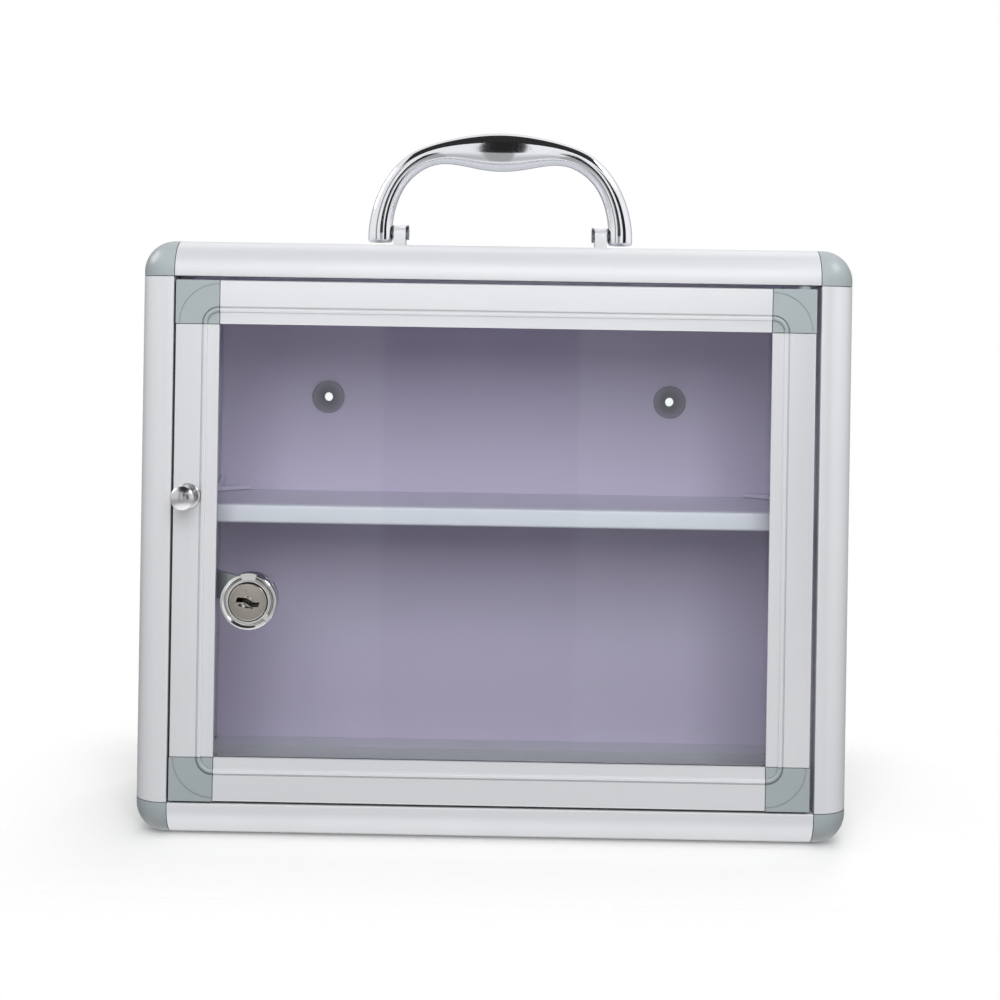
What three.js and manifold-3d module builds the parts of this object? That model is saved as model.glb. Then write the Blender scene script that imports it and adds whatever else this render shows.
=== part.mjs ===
// A glazed lock cabinet: an aluminium profile case with ball corners, a framed glass door
// on pivot pins, a cam lock, one shelf and a folding bail handle on top.
// Millimetres, +Z up, the door faces -Y, the hinges are on the right.
import * as THREE from "three";
import { RoundedBoxGeometry } from "three/addons/geometries/RoundedBoxGeometry.js";
import { mergeVertices } from "three/addons/utils/BufferGeometryUtils.js";
import Module from "manifold-3d";

const wasm = await Module();
wasm.setup();

// Case
const caseWidth = 300;
const caseHeight = 250;
const caseDepth = 120;
const seatGap = 0.3;
const cutOverrun = 1;

// Edge profiles, strips and ball corners
const edgeRadius = 13;
const edgeFace = 15;
const edgeWall = 1.6;
const edgeLip = 1.4;
const edgeFillet = 0.6;
const frontDepth = 24;
const rearDepth = 27;
const slotDepth = 8;
const stripSlotDepth = 4.5;
const tongueLength = 14;

// Panels
const panelThickness = 3;
const backInset = 8;
const backSlotDepth = 5;

// Hanging eyelets in the back panel
const eyeletSpacing = 166;
const eyeletHeight = 181;
const eyeletBore = 2.1;
const eyeletFlangeRadius = 7.8;
const eyeletFlangeThickness = 1.2;
const eyeletSleeveWall = 1.4;
const eyeletDishDepth = 0.5;

// Shelf
const shelfTop = 135.3;
const shelfThickness = 5;
const shelfSetback = 28;
const trimOverlap = 7;
const trimWall = 1.1;
const ledgeWidth = 10;
const ledgeWall = 1.5;
const ledgeRadius = 1;
const gussetLeg = 15;
const gussetThickness = 1.8;
const gussetRib = 7;

// Door leaf
const hingeGap = 2;
const lockGap = 0.9;
const topGap = 1.6;
const bottomGap = 0.9;
const leafThickness = 9.6;
const leafFace = 18.2;
const leafWall = 1.6;
const leafFillet = 0.8;
const leafCornerRadius = 1.5;
const bandWidth = 11;
const bandStep = 0.6;
const beadRadius = 1;
const beadCentre = 12.4;
const engraveRadius = 16.6;
const engraveWidth = 0.6;
const engraveDepth = 0.4;
const glassHold = 5.8;
const glassLip = 1.4;
const rearLipSetback = 1.2;
const leafTongueLength = 15;

// Glazing
const glassThickness = 3.2;
const gasketWall = 0.8;
const gasketGrip = 3.6;

// Hinge
const pivotInset = 4.6;
const pivotDepth = 4.4;
const pivotRadius = 1.5;
const pivotBossRadius = 3;
const pivotBore = 10;

// Knob
const knobInset = 6.4;
const knobHeight = 143.4;
const knobRadius = 5;
const knobReach = 14.5;
const knobDome = 2.1;
const knobRim = 1.2;
const knobTaper = 1.4;
const knobNeckRadius = 2.6;
const knobStudRadius = 2;
const knobStudReach = 2.4;
const rosetteRadius = 5.2;
const rosetteThickness = 1.8;
const rosetteBevel = 0.6;

// Lock
const lockInset = 32.1;
const lockHeight = 99.4;
const bezelRadius = 11.75;
const bezelFaceRadius = 10.4;
const bezelRise = 3.6;
const bezelBevel = 1;
const bezelNotchWidth = 7;
const bezelNotchDepth = 1.2;
const bezelNotchDegrees = [0, 132];
const barrelRadius = 9.4;
const barrelLength = 7.5;
const nutThickness = 3;
const nutRadius = 12.6;
const plugRadius = 7.9;
const plugRise = 0.5;
const plugBevel = 0.5;
const keywayLength = 9.6;
const keywayWidth = 1.7;
const keywayStep = 0.9;
const keywayDepth = 9;
const spigotSide = 6;
const camReach = 31;
const camWidth = 11;
const camThickness = 2.5;
const camGap = 0.6;
const camHubMargin = 0.6;
const camScrewRadius = 4.4;
const camScrewHead = 1.8;
const camScrewShankRadius = 1.6;
const camScrewShank = 2.6;
const camRestDegrees = 17;

// Strike plate and door stop
const strikeLow = 74;
const strikeHeight = 14;
const strikeReach = 14;
const strikeThickness = 2;
const strikeCamGap = 0.7;
const strikeFlange = 8;
const strikeChamfer = 2;
const stopWidth = 5.4;
const stopDrop = 6;
const stopThickness = 4;
const stopRadius = 1;

// Handle
const pivotSpan = 109;
const pivotRise = 8.3;
const bailRise = 37.9;
const bailLegHalfWidth = 5.5;
const bailLegHalfDepth = 4.5;
const bailShoulderHalfWidth = 4.6;
const bailGripOver = 3.2;
const bailGripUnder = 4.9;
const bailGripHalfDepth = 6;
const bailGripHalfLength = 34.8;
const bailEndRadius = 1.2;
const bailTail = 4.6;
const bailHollowRadius = 3.1;
const bailHollowDepth = 1.9;
const bailBore = 7.5;
const bracketGap = 0.7;
const postThickness = 5.4;
const postHalfDepth = 6.5;
const postCrownRadius = 3.2;
const bracketPlate = 1.5;
const bracketHalfDepth = 12;
const bracketCornerRadius = 3;
const handlePinRadius = 2.2;
const handlePinHeadRadius = 3.4;
const handlePinHead = 1;

// Counts and shares of a turn
const arcSteps = 8;
const ballSteps = 4;
const boreSteps = 24;
const smallBoreSteps = 16;
const knobSteps = 8;
const nutSides = 6;
const squareSides = 4;
const bailSteps = 38;
const bailEndSteps = 3;
const bailSides = 16;
const bailSquareness = 4;
const bailShoulderShare = 0.565;
const bailFadeShare = 0.6;
const sectionPowerShare = 2.4;
const keywayBendShares = [-0.5, -0.15, 0.2, 0.5];
const quarterTurn = Math.PI / 2;

// Places that several pieces share, with y counted back from the front of the case
const halfWidth = caseWidth / 2;
const openingHalf = halfWidth - edgeFace;
const slotOuter = edgeLip;
const slotInner = slotOuter + panelThickness + 2 * seatGap;
const panelOuter = slotOuter + seatGap;
const panelInner = panelOuter + panelThickness;
const backFront = caseDepth - backInset - panelThickness;
const doorLeft = -openingHalf + lockGap;
const doorWidth = 2 * openingHalf - lockGap - hingeGap;
const doorBottom = edgeFace + bottomGap;
const doorHeight = caseHeight - 2 * edgeFace - topGap - bottomGap;
const glassSlotWidth = glassThickness + 2 * (gasketWall + 2 * seatGap);
const glassSlotFront = bandStep + glassLip;
const glassSlotBack = glassSlotFront + glassSlotWidth;
const glassSlotEdge = leafFace - glassHold;
const glassFront = glassSlotFront + gasketWall + 2 * seatGap;
const glassBack = glassFront + glassThickness;
const paneInset = glassSlotEdge + gasketWall + 2 * seatGap;
const lockRear = glassBack + barrelLength;
const camFront = lockRear + camGap;
const camBack = camFront + camThickness;
const handleDepth = caseDepth / 2;
const bracketTop = caseHeight - panelOuter + seatGap + bracketPlate;

const aluminium = { color: 0xd2d4d7, roughness: 0.38, metalness: 0.9 };
const cornerPlastic = { color: 0xa6b0b1, roughness: 0.55, metalness: 0 };
const lilacPanel = { color: 0x8f869e, roughness: 0.6, metalness: 0 };
const greyTrim = { color: 0xcbcdd8, roughness: 0.5, metalness: 0 };
const darkPlastic = { color: 0x646469, roughness: 0.5, metalness: 0 };
const blackRubber = { color: 0x2b2b2d, roughness: 0.85, metalness: 0 };
const chrome = { color: 0xdfe1e4, roughness: 0.08, metalness: 1 };
const nickel = { color: 0x96928a, roughness: 0.3, metalness: 1 };
const steel = { color: 0xb4b6b8, roughness: 0.35, metalness: 1 };
const paneGlass = { color: 0xe4ecee, roughness: 0.04, metalness: 0 };

// Solids

function solid(geometry) {
  const bare = geometry.clone();
  bare.deleteAttribute("normal");
  bare.deleteAttribute("uv");
  const merged = mergeVertices(bare);
  const corners = merged.index.array;
  const kept = [];
  for (let i = 0; i < corners.length; i += 3) {
    const [a, b, c] = corners.slice(i, i + 3);
    if (a !== b && b !== c && c !== a) kept.push(a, b, c);
  }
  const mesh = new wasm.Mesh({
    numProp: 3,
    vertProperties: merged.attributes.position.array,
    triVerts: Uint32Array.from(kept),
  });
  return new wasm.Manifold(mesh);
}

function meshOf(name, body, finish) {
  const { vertProperties, triVerts, numProp } = body.getMesh();
  const geometry = new THREE.BufferGeometry();
  geometry.setAttribute("position", new THREE.BufferAttribute(vertProperties, numProp));
  geometry.setIndex(new THREE.BufferAttribute(triVerts, 1));
  geometry.computeVertexNormals();
  const mesh = new THREE.Mesh(geometry, new THREE.MeshStandardMaterial(finish));
  mesh.name = name;
  return mesh;
}

function block(low, high) {
  const [sx, sy, sz] = high.map((value, i) => value - low[i]);
  const geometry = new THREE.BoxGeometry(sx, sy, sz);
  geometry.translate(low[0] + sx / 2, low[1] + sy / 2, low[2] + sz / 2);
  return solid(geometry);
}

// A shape whose x runs along uDir and y along vDir, pushed out along uDir x vDir.
function extruded(shape, length, uDir, vDir, origin, curveSegments = arcSteps) {
  const u = new THREE.Vector3(...uDir);
  const v = new THREE.Vector3(...vDir);
  const w = new THREE.Vector3().crossVectors(u, v);
  const geometry = new THREE.ExtrudeGeometry(shape, { depth: length, bevelEnabled: false, curveSegments });
  geometry.applyMatrix4(new THREE.Matrix4().makeBasis(u, v, w));
  geometry.translate(...origin);
  return solid(geometry);
}

// A closed profile of [radius, y] points turned about the Y axis.
function turned(profile, steps) {
  const points = profile.map(([radius, along]) => new THREE.Vector2(radius, along));
  return solid(new THREE.LatheGeometry(points, steps));
}

// A cylinder of one radius about the given axis, from low to high along it.
function rod(radius, low, high, axis, steps = smallBoreSteps) {
  const geometry = new THREE.CylinderGeometry(radius, radius, high - low, steps);
  geometry.translate(0, (low + high) / 2, 0);
  if (axis === "x") geometry.rotateZ(-quarterTurn);
  if (axis === "z") geometry.rotateX(quarterTurn);
  return solid(geometry);
}

function polygon(points) {
  const shape = new THREE.Shape();
  points.forEach(([x, y], i) => (i ? shape.lineTo(x, y) : shape.moveTo(x, y)));
  shape.closePath();
  return shape;
}

function rectangle(left, bottom, right, top) {
  return polygon([
    [left, bottom],
    [right, bottom],
    [right, top],
    [left, top],
  ]);
}

function roundedRectangle(left, bottom, right, top, radius) {
  const shape = new THREE.Shape();
  shape.absarc(left + radius, bottom + radius, radius, 2 * quarterTurn, 3 * quarterTurn);
  shape.absarc(right - radius, bottom + radius, radius, 3 * quarterTurn, 4 * quarterTurn);
  shape.absarc(right - radius, top - radius, radius, 0, quarterTurn);
  shape.absarc(left + radius, top - radius, radius, quarterTurn, 2 * quarterTurn);
  return shape;
}

// Edge profiles: u runs inwards from the outer face of the case, v in from the front or rear face

function panelSlot(outline, depth) {
  outline.lineTo(slotInner, depth);
  outline.lineTo(slotInner, depth - slotDepth);
  outline.lineTo(slotOuter, depth - slotDepth);
  outline.lineTo(slotOuter, depth);
  outline.lineTo(0, depth);
}

function chamberBack(chamber, depth) {
  chamber.lineTo(edgeFace - edgeWall, depth - edgeWall);
  chamber.lineTo(slotInner + edgeWall, depth - edgeWall);
  chamber.lineTo(slotInner + edgeWall, depth - slotDepth - edgeWall);
  chamber.lineTo(edgeWall, depth - slotDepth - edgeWall);
}

function frontSection() {
  const outline = new THREE.Shape();
  outline.absarc(edgeRadius, edgeRadius, edgeRadius, 2 * quarterTurn, 3 * quarterTurn);
  outline.absarc(edgeFace - edgeFillet, edgeFillet, edgeFillet, 3 * quarterTurn, 4 * quarterTurn);
  outline.lineTo(edgeFace, frontDepth);
  panelSlot(outline, frontDepth);
  const chamber = new THREE.Path();
  chamber.absarc(edgeRadius, edgeRadius, edgeRadius - edgeWall, 2 * quarterTurn, 3 * quarterTurn);
  chamber.lineTo(edgeFace - edgeWall, edgeWall);
  chamberBack(chamber, frontDepth);
  outline.holes.push(chamber);
  return outline;
}

function rearSection() {
  const grooveLow = backInset - seatGap;
  const grooveHigh = backInset + panelThickness + seatGap;
  const grooveEnd = edgeFace - backSlotDepth;
  const outline = new THREE.Shape();
  outline.absarc(edgeRadius, edgeRadius, edgeRadius, 2 * quarterTurn, 3 * quarterTurn);
  outline.lineTo(edgeFace, 0);
  outline.lineTo(edgeFace, grooveLow);
  outline.lineTo(grooveEnd, grooveLow);
  outline.lineTo(grooveEnd, grooveHigh);
  outline.lineTo(edgeFace, grooveHigh);
  outline.lineTo(edgeFace, rearDepth);
  panelSlot(outline, rearDepth);
  const chamber = new THREE.Path();
  chamber.absarc(edgeRadius, edgeRadius, edgeRadius - edgeWall, 2 * quarterTurn, 3 * quarterTurn);
  chamber.lineTo(edgeFace - edgeWall, edgeWall);
  chamber.lineTo(edgeFace - edgeWall, grooveLow - edgeWall);
  chamber.lineTo(grooveEnd - edgeWall, grooveLow - edgeWall);
  chamber.lineTo(grooveEnd - edgeWall, grooveHigh + edgeWall);
  chamber.lineTo(edgeFace - edgeWall, grooveHigh + edgeWall);
  chamberBack(chamber, rearDepth);
  outline.holes.push(chamber);
  return outline;
}

// The strip along a front-to-back edge: both coordinates run inwards from an outer face.
function stripSection() {
  const slotEnd = edgeFace - stripSlotDepth;
  const outline = new THREE.Shape();
  outline.absarc(edgeRadius, edgeRadius, edgeRadius, 2 * quarterTurn, 3 * quarterTurn);
  outline.lineTo(edgeFace, 0);
  outline.lineTo(edgeFace, slotOuter);
  outline.lineTo(slotEnd, slotOuter);
  outline.lineTo(slotEnd, slotInner);
  outline.lineTo(edgeFace, slotInner);
  outline.lineTo(edgeFace, edgeFace);
  outline.lineTo(slotInner, edgeFace);
  outline.lineTo(slotInner, slotEnd);
  outline.lineTo(slotOuter, slotEnd);
  outline.lineTo(slotOuter, edgeFace);
  outline.lineTo(0, edgeFace);
  const low = slotInner + edgeWall;
  const high = edgeFace - edgeWall;
  outline.holes.push(rectangle(low, low, high, high));
  return outline;
}

// The four sides of the case: where the outer face lies, which way is inwards, and the length
// between the ball corners.
const sides = {
  bottom: { face: [0, 0, 0], inwards: [0, 0, 1], length: caseWidth - 2 * edgeFace },
  top: { face: [0, 0, caseHeight], inwards: [0, 0, -1], length: caseWidth - 2 * edgeFace },
  left: { face: [-halfWidth, 0, caseHeight / 2], inwards: [1, 0, 0], length: caseHeight - 2 * edgeFace },
  right: { face: [halfWidth, 0, caseHeight / 2], inwards: [-1, 0, 0], length: caseHeight - 2 * edgeFace },
};

const corners = {
  bottom_left: { x: -1, z: -1 },
  bottom_right: { x: 1, z: -1 },
  top_left: { x: -1, z: 1 },
  top_right: { x: 1, z: 1 },
};

function edgeProfile(side, section, depthDir, depthOrigin) {
  const { face, inwards, length } = sides[side];
  const cut = length - 2 * seatGap;
  const along = new THREE.Vector3(...inwards).cross(new THREE.Vector3(...depthDir));
  const start = new THREE.Vector3(face[0], depthOrigin, face[2]).addScaledVector(along, -cut / 2);
  return extruded(section, cut, inwards, depthDir, start.toArray());
}

// The pivot pin's hole through the inner wall of the top or bottom front profile.
function pivotHole(side) {
  const wallLow = side === "top" ? caseHeight - edgeFace : edgeFace - edgeWall;
  const hole = rod(pivotRadius + seatGap, wallLow - cutOverrun, wallLow + edgeWall + cutOverrun, "z");
  return hole.translate([doorLeft + doorWidth - pivotInset, pivotDepth, 0]);
}

function frontProfile(side) {
  const body = edgeProfile(side, frontSection(), [0, 1, 0], 0);
  return side === "top" || side === "bottom" ? body.subtract(pivotHole(side)) : body;
}

function rearProfile(side) {
  return edgeProfile(side, rearSection(), [0, -1, 0], caseDepth);
}

// A box in one corner of the case: x and z count inwards from the outer faces, y back from the front.
function cornerBlock(corner, low, high) {
  const x = [-corner.x * (low[0] - halfWidth), -corner.x * (high[0] - halfWidth)];
  const z = [low[2], high[2]].map((inwards) => (corner.z > 0 ? caseHeight - inwards : inwards));
  return block(
    [Math.min(...x), low[1], Math.min(...z)],
    [Math.max(...x), high[1], Math.max(...z)],
  );
}

function caseEnvelope() {
  const geometry = new RoundedBoxGeometry(caseWidth, caseDepth, caseHeight, ballSteps, edgeRadius);
  geometry.translate(0, caseDepth / 2, caseHeight / 2);
  return solid(geometry);
}

function edgeStrip(corner) {
  const length = caseDepth - 2 * edgeFace - 2 * seatGap;
  const across = [-corner.x, 0, 0];
  const down = [0, 0, -corner.z];
  const yOfCross = corner.x * corner.z > 0 ? -1 : 1;
  const start = edgeFace + seatGap + (yOfCross < 0 ? length : 0);
  const origin = [corner.x * halfWidth, start, corner.z > 0 ? caseHeight : 0];
  return extruded(stripSection(), length, across, down, origin);
}

// Where the tongues of a ball corner lie across the profile's chamber and along the depth.
function tongueRange(end) {
  const low = edgeRadius - (edgeRadius - edgeWall) * Math.SQRT1_2 + seatGap * Math.SQRT2;
  const chamberEnd = frontDepth - slotDepth - edgeWall - seatGap;
  const high = end === "front" ? edgeFace - edgeWall - seatGap : edgeFace - backSlotDepth - edgeWall - seatGap;
  const near = [low, Math.min(chamberEnd, edgeFace - seatGap)];
  const depth = end === "front" ? near : near.map((v) => caseDepth - v).reverse();
  return { across: [low, high], depth };
}

function ballCorner(corner, end, envelope) {
  const front = end === "front";
  const depth = front ? [0, edgeFace] : [caseDepth - edgeFace, caseDepth];
  const cube = cornerBlock(corner, [0, depth[0], 0], [edgeFace, depth[1], edgeFace]);
  const tongue = tongueRange(end);
  const reach = [edgeFace - cutOverrun, edgeFace + tongueLength];
  const sideways = cornerBlock(
    corner,
    [reach[0], tongue.depth[0], tongue.across[0]],
    [reach[1], tongue.depth[1], tongue.across[1]],
  );
  const upright = cornerBlock(
    corner,
    [tongue.across[0], tongue.depth[0], reach[0]],
    [tongue.across[1], tongue.depth[1], reach[1]],
  );
  const boreLow = slotInner + edgeWall + seatGap;
  const boreHigh = edgeFace - edgeWall - seatGap;
  const inReach = front ? reach : reach.map((v) => caseDepth - v).reverse();
  const inwards = cornerBlock(corner, [boreLow, inReach[0], boreLow], [boreHigh, inReach[1], boreHigh]);
  const body = cube.intersect(envelope).add(sideways).add(upright).add(inwards);
  return front ? body : body.subtract(backPanelPocket(corner));
}

// The slot in a rear ball corner that takes the corner of the back panel.
function backPanelPocket(corner) {
  const low = edgeFace - backSlotDepth;
  const high = edgeFace + cutOverrun;
  return cornerBlock(
    corner,
    [low, backFront - seatGap, low],
    [high, backFront + panelThickness + seatGap, high],
  );
}

// Panels

function sidePanel(side) {
  const front = frontDepth - slotDepth + seatGap;
  const rear = caseDepth - rearDepth + slotDepth - seatGap;
  const tuck = edgeFace - stripSlotDepth + seatGap;
  const flat = side === "top" || side === "bottom";
  const far = (flat ? caseWidth : caseHeight) - tuck;
  const nearLow = flat ? [tuck - halfWidth, front, panelOuter] : [panelOuter - halfWidth, front, tuck];
  const nearHigh = flat ? [far - halfWidth, rear, panelInner] : [panelInner - halfWidth, rear, far];
  const body = block(nearLow, nearHigh);
  if (side === "top") return body.translate([0, 0, caseHeight - panelOuter - panelInner]);
  if (side === "right") return body.translate([caseWidth - panelOuter - panelInner, 0, 0]);
  return body;
}

function eyeletPlaces() {
  return { left: -eyeletSpacing / 2, right: eyeletSpacing / 2 };
}

function backPanel() {
  const edge = edgeFace - backSlotDepth + seatGap;
  let body = block(
    [edge - halfWidth, backFront, edge],
    [halfWidth - edge, backFront + panelThickness, caseHeight - edge],
  );
  const holeRadius = eyeletBore + eyeletSleeveWall + seatGap;
  for (const x of Object.values(eyeletPlaces())) {
    const hole = rod(holeRadius, backFront - cutOverrun, backFront + panelThickness + cutOverrun, "y");
    body = body.subtract(hole.translate([x, 0, eyeletHeight]));
  }
  return body;
}

function hangingEyelet(x) {
  const flangeBack = backFront - seatGap;
  const flangeFront = flangeBack - eyeletFlangeThickness;
  const sleeve = eyeletBore + eyeletSleeveWall;
  const profile = [
    [eyeletBore, flangeFront + eyeletDishDepth],
    [sleeve, flangeFront],
    [eyeletFlangeRadius - eyeletDishDepth, flangeFront],
    [eyeletFlangeRadius, flangeFront + eyeletDishDepth],
    [eyeletFlangeRadius, flangeBack],
    [sleeve, flangeBack],
    [sleeve, backFront + panelThickness],
    [eyeletBore, backFront + panelThickness],
    [eyeletBore, flangeFront + eyeletDishDepth],
  ];
  return turned(profile, boreSteps).translate([x, 0, eyeletHeight]);
}

// Shelf

const shelfHalf = halfWidth - panelInner - seatGap;
const shelfBottom = shelfTop - shelfThickness;
const shelfRear = backFront - seatGap;

// The board, notched at the rear to pass between the rear profiles.
function shelfBoard() {
  const notch = openingHalf - seatGap;
  const notchFront = caseDepth - rearDepth - seatGap;
  const front = shelfSetback + trimWall + seatGap;
  const outline = polygon([
    [-shelfHalf, front],
    [shelfHalf, front],
    [shelfHalf, notchFront],
    [notch, notchFront],
    [notch, shelfRear],
    [-notch, shelfRear],
    [-notch, notchFront],
    [-shelfHalf, notchFront],
  ]);
  return extruded(outline, shelfThickness, [1, 0, 0], [0, 1, 0], [0, 0, shelfBottom]);
}

function shelfTrim() {
  const low = shelfBottom - seatGap - trimWall;
  const high = shelfTop + seatGap + trimWall;
  const back = shelfSetback + trimOverlap;
  const outline = new THREE.Shape();
  outline.absarc(shelfSetback + trimWall, low + trimWall, trimWall, 2 * quarterTurn, 3 * quarterTurn);
  outline.lineTo(back, low);
  outline.lineTo(back, low + trimWall);
  outline.lineTo(shelfSetback + trimWall, low + trimWall);
  outline.lineTo(shelfSetback + trimWall, high - trimWall);
  outline.lineTo(back, high - trimWall);
  outline.lineTo(back, high);
  outline.absarc(shelfSetback + trimWall, high - trimWall, trimWall, quarterTurn, 2 * quarterTurn);
  return extruded(outline, 2 * shelfHalf, [0, 1, 0], [0, 0, 1], [-shelfHalf, 0, 0]);
}

// The angle under one end of the shelf, fixed to the side panel.
function shelfLedge(side) {
  const top = shelfBottom - seatGap;
  const outline = new THREE.Shape();
  outline.moveTo(0, 0);
  outline.lineTo(0, -ledgeWidth);
  outline.lineTo(ledgeWall, -ledgeWidth);
  outline.absarc(ledgeWall + ledgeRadius, -ledgeWall - ledgeRadius, ledgeRadius, 2 * quarterTurn, quarterTurn, true);
  outline.lineTo(ledgeWidth, -ledgeWall);
  outline.lineTo(ledgeWidth, 0);
  const length = caseDepth - rearDepth - seatGap - shelfSetback - trimOverlap - seatGap;
  const near = shelfSetback + trimOverlap + seatGap;
  const start = side < 0 ? near + length : near;
  return extruded(outline, length, [-side, 0, 0], [0, 0, 1], [side * shelfHalf, start, top]);
}

// A gusset on the rear corner of the shelf: a flat triangle with an upright rib against the profile.
function shelfGusset(side) {
  const wall = openingHalf - seatGap;
  const outline = polygon([
    [0, 0],
    [-gussetLeg, 0],
    [0, -gussetLeg],
  ]);
  const rib = polygon([
    [0, 0],
    [-gussetLeg, 0],
    [0, gussetRib],
  ]);
  const flat = extruded(outline, gussetThickness, [1, 0, 0], [0, 1, 0], [0, 0, 0]);
  const upright = extruded(rib, gussetThickness, [0, 1, 0], [0, 0, 1], [-gussetThickness, 0, 0]);
  const body = flat.add(upright);
  const mirrored = side < 0 ? body.mirror([1, 0, 0]) : body;
  return mirrored.translate([side * wall, shelfRear, shelfTop + seatGap]);
}

// Strike and stop

const strikeFront = camFront - strikeCamGap - strikeThickness;

function strikePlate() {
  const wall = -openingHalf + seatGap;
  const tab = new THREE.Shape();
  tab.moveTo(0, 0);
  tab.lineTo(strikeReach - strikeChamfer, 0);
  tab.lineTo(strikeReach, strikeChamfer);
  tab.lineTo(strikeReach, strikeHeight - strikeChamfer);
  tab.lineTo(strikeReach - strikeChamfer, strikeHeight);
  tab.lineTo(0, strikeHeight);
  const plate = extruded(
    tab,
    strikeThickness,
    [1, 0, 0],
    [0, 0, 1],
    [wall, strikeFront + strikeThickness, strikeLow],
  );
  const flange = block(
    [wall, strikeFront, strikeLow],
    [wall + strikeThickness, strikeFront + strikeFlange, strikeLow + strikeHeight],
  );
  return plate.add(flange);
}

// The pad behind the top left corner of the door that the leaf closes against.
function doorStop() {
  const top = caseHeight - edgeFace - seatGap;
  const outline = roundedRectangle(0, 0, stopWidth, stopDrop, stopRadius);
  return extruded(
    outline,
    stopThickness,
    [1, 0, 0],
    [0, 0, 1],
    [-openingHalf + seatGap, leafThickness + seatGap + stopThickness, top - stopDrop],
  );
}

// Door: x from the left edge of the leaf, z from its bottom, y back from the front of the case

function leafSection() {
  const outline = new THREE.Shape();
  outline.absarc(leafFillet, leafFillet, leafFillet, 2 * quarterTurn, 3 * quarterTurn);
  outline.lineTo(bandWidth, 0);
  outline.lineTo(bandWidth, bandStep);
  outline.absarc(beadCentre, bandStep, beadRadius, 2 * quarterTurn, 4 * quarterTurn);
  outline.lineTo(leafFace, bandStep);
  outline.lineTo(leafFace, glassSlotFront);
  outline.lineTo(glassSlotEdge, glassSlotFront);
  outline.lineTo(glassSlotEdge, glassSlotBack);
  outline.lineTo(leafFace - rearLipSetback, glassSlotBack);
  outline.lineTo(leafFace - rearLipSetback, leafThickness);
  outline.lineTo(0, leafThickness);
  const chamber = rectangle(leafWall, leafWall, glassSlotEdge - leafWall, leafThickness - leafWall);
  outline.holes.push(chamber);
  return outline;
}

const leafSides = {
  bottom: { edge: [leafFace, 0, 0], inwards: [0, 0, 1], length: doorWidth - 2 * leafFace },
  top: { edge: [leafFace, 0, doorHeight], inwards: [0, 0, -1], length: doorWidth - 2 * leafFace },
  left: { edge: [0, 0, leafFace], inwards: [1, 0, 0], length: doorHeight - 2 * leafFace },
  right: { edge: [doorWidth, 0, leafFace], inwards: [-1, 0, 0], length: doorHeight - 2 * leafFace },
};

function leafProfile(side) {
  const { edge, inwards, length } = leafSides[side];
  const cut = length - 2 * seatGap;
  const along = new THREE.Vector3(...inwards).cross(new THREE.Vector3(0, 1, 0));
  const backwards = along.x + along.z < 0;
  const ahead = new THREE.Vector3(Math.abs(along.x), 0, Math.abs(along.z));
  const start = new THREE.Vector3(...edge).addScaledVector(ahead, backwards ? length - seatGap : seatGap);
  const body = extruded(leafSection(), cut, inwards, [0, 1, 0], start.toArray());
  return side === "left" ? body.subtract(knobHole()) : body;
}

function knobHole() {
  const hole = rod(knobStudRadius + seatGap, -cutOverrun, leafWall + cutOverrun, "y");
  return hole.translate([knobInset, 0, knobHeight - doorBottom]);
}

// The raised quarter ring that carries the bead round a corner, about the glass-side corner.
function cornerBead() {
  const ring = new THREE.TorusGeometry(leafFace - beadCentre, beadRadius, 2 * arcSteps, 4 * arcSteps);
  ring.rotateX(quarterTurn);
  ring.translate(leafFace, bandStep, leafFace);
  return solid(ring).intersect(block([0, -leafFace, 0], [leafFace, leafWall, leafFace]));
}

function cornerEngraving() {
  const disc = (radius) => rod(radius, -cutOverrun, engraveDepth, "y", 8 * arcSteps);
  const groove = disc(engraveRadius + engraveWidth / 2).subtract(disc(engraveRadius - engraveWidth / 2));
  return groove.translate([leafFace, 0, leafFace]);
}

// The bottom left corner of the door. The other three are turned from it.
function leafCornerBase() {
  const outline = new THREE.Shape();
  outline.absarc(leafCornerRadius, leafCornerRadius, leafCornerRadius, 2 * quarterTurn, 3 * quarterTurn);
  outline.lineTo(leafFace, 0);
  outline.lineTo(leafFace, leafFace);
  outline.lineTo(0, leafFace);
  const square = extruded(outline, leafThickness, [1, 0, 0], [0, 0, 1], [0, leafThickness, 0]);
  const recess = rod(leafFace - bandWidth, -cutOverrun, bandStep, "y", 8 * arcSteps);
  const far = leafFace + cutOverrun;
  const pocket = block([glassSlotEdge, glassSlotFront, glassSlotEdge], [far, glassSlotBack, far]);
  const low = leafWall + seatGap;
  const high = glassSlotEdge - leafWall - seatGap;
  const back = leafThickness - leafWall - seatGap;
  const reach = leafFace + leafTongueLength;
  const start = leafFace - cutOverrun;
  return square
    .subtract(cornerEngraving())
    .subtract(recess.translate([leafFace, 0, leafFace]))
    .add(cornerBead())
    .subtract(pocket)
    .add(block([start, low, low], [reach, back, high]))
    .add(block([low, low, start], [high, back, reach]));
}

// A right corner also has the pivot boss and the bore for the hinge pin.
function leafCorner(corner, base) {
  let body = corner.x > 0 ? base.mirror([1, 0, 0]).translate([doorWidth, 0, 0]) : base;
  if (corner.x > 0) {
    const gap = corner.z > 0 ? topGap : bottomGap;
    const bossTop = gap - seatGap;
    const place = [doorWidth - pivotInset, pivotDepth, 0];
    const boss = rod(pivotBossRadius, -bossTop, cutOverrun, "z");
    const bore = rod(pivotRadius + seatGap, -gap - cutOverrun, pivotBore + seatGap, "z");
    body = body.add(boss.translate(place)).subtract(bore.translate(place));
  }
  return corner.z > 0 ? body.mirror([0, 0, 1]).translate([0, 0, doorHeight]) : body;
}

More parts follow.
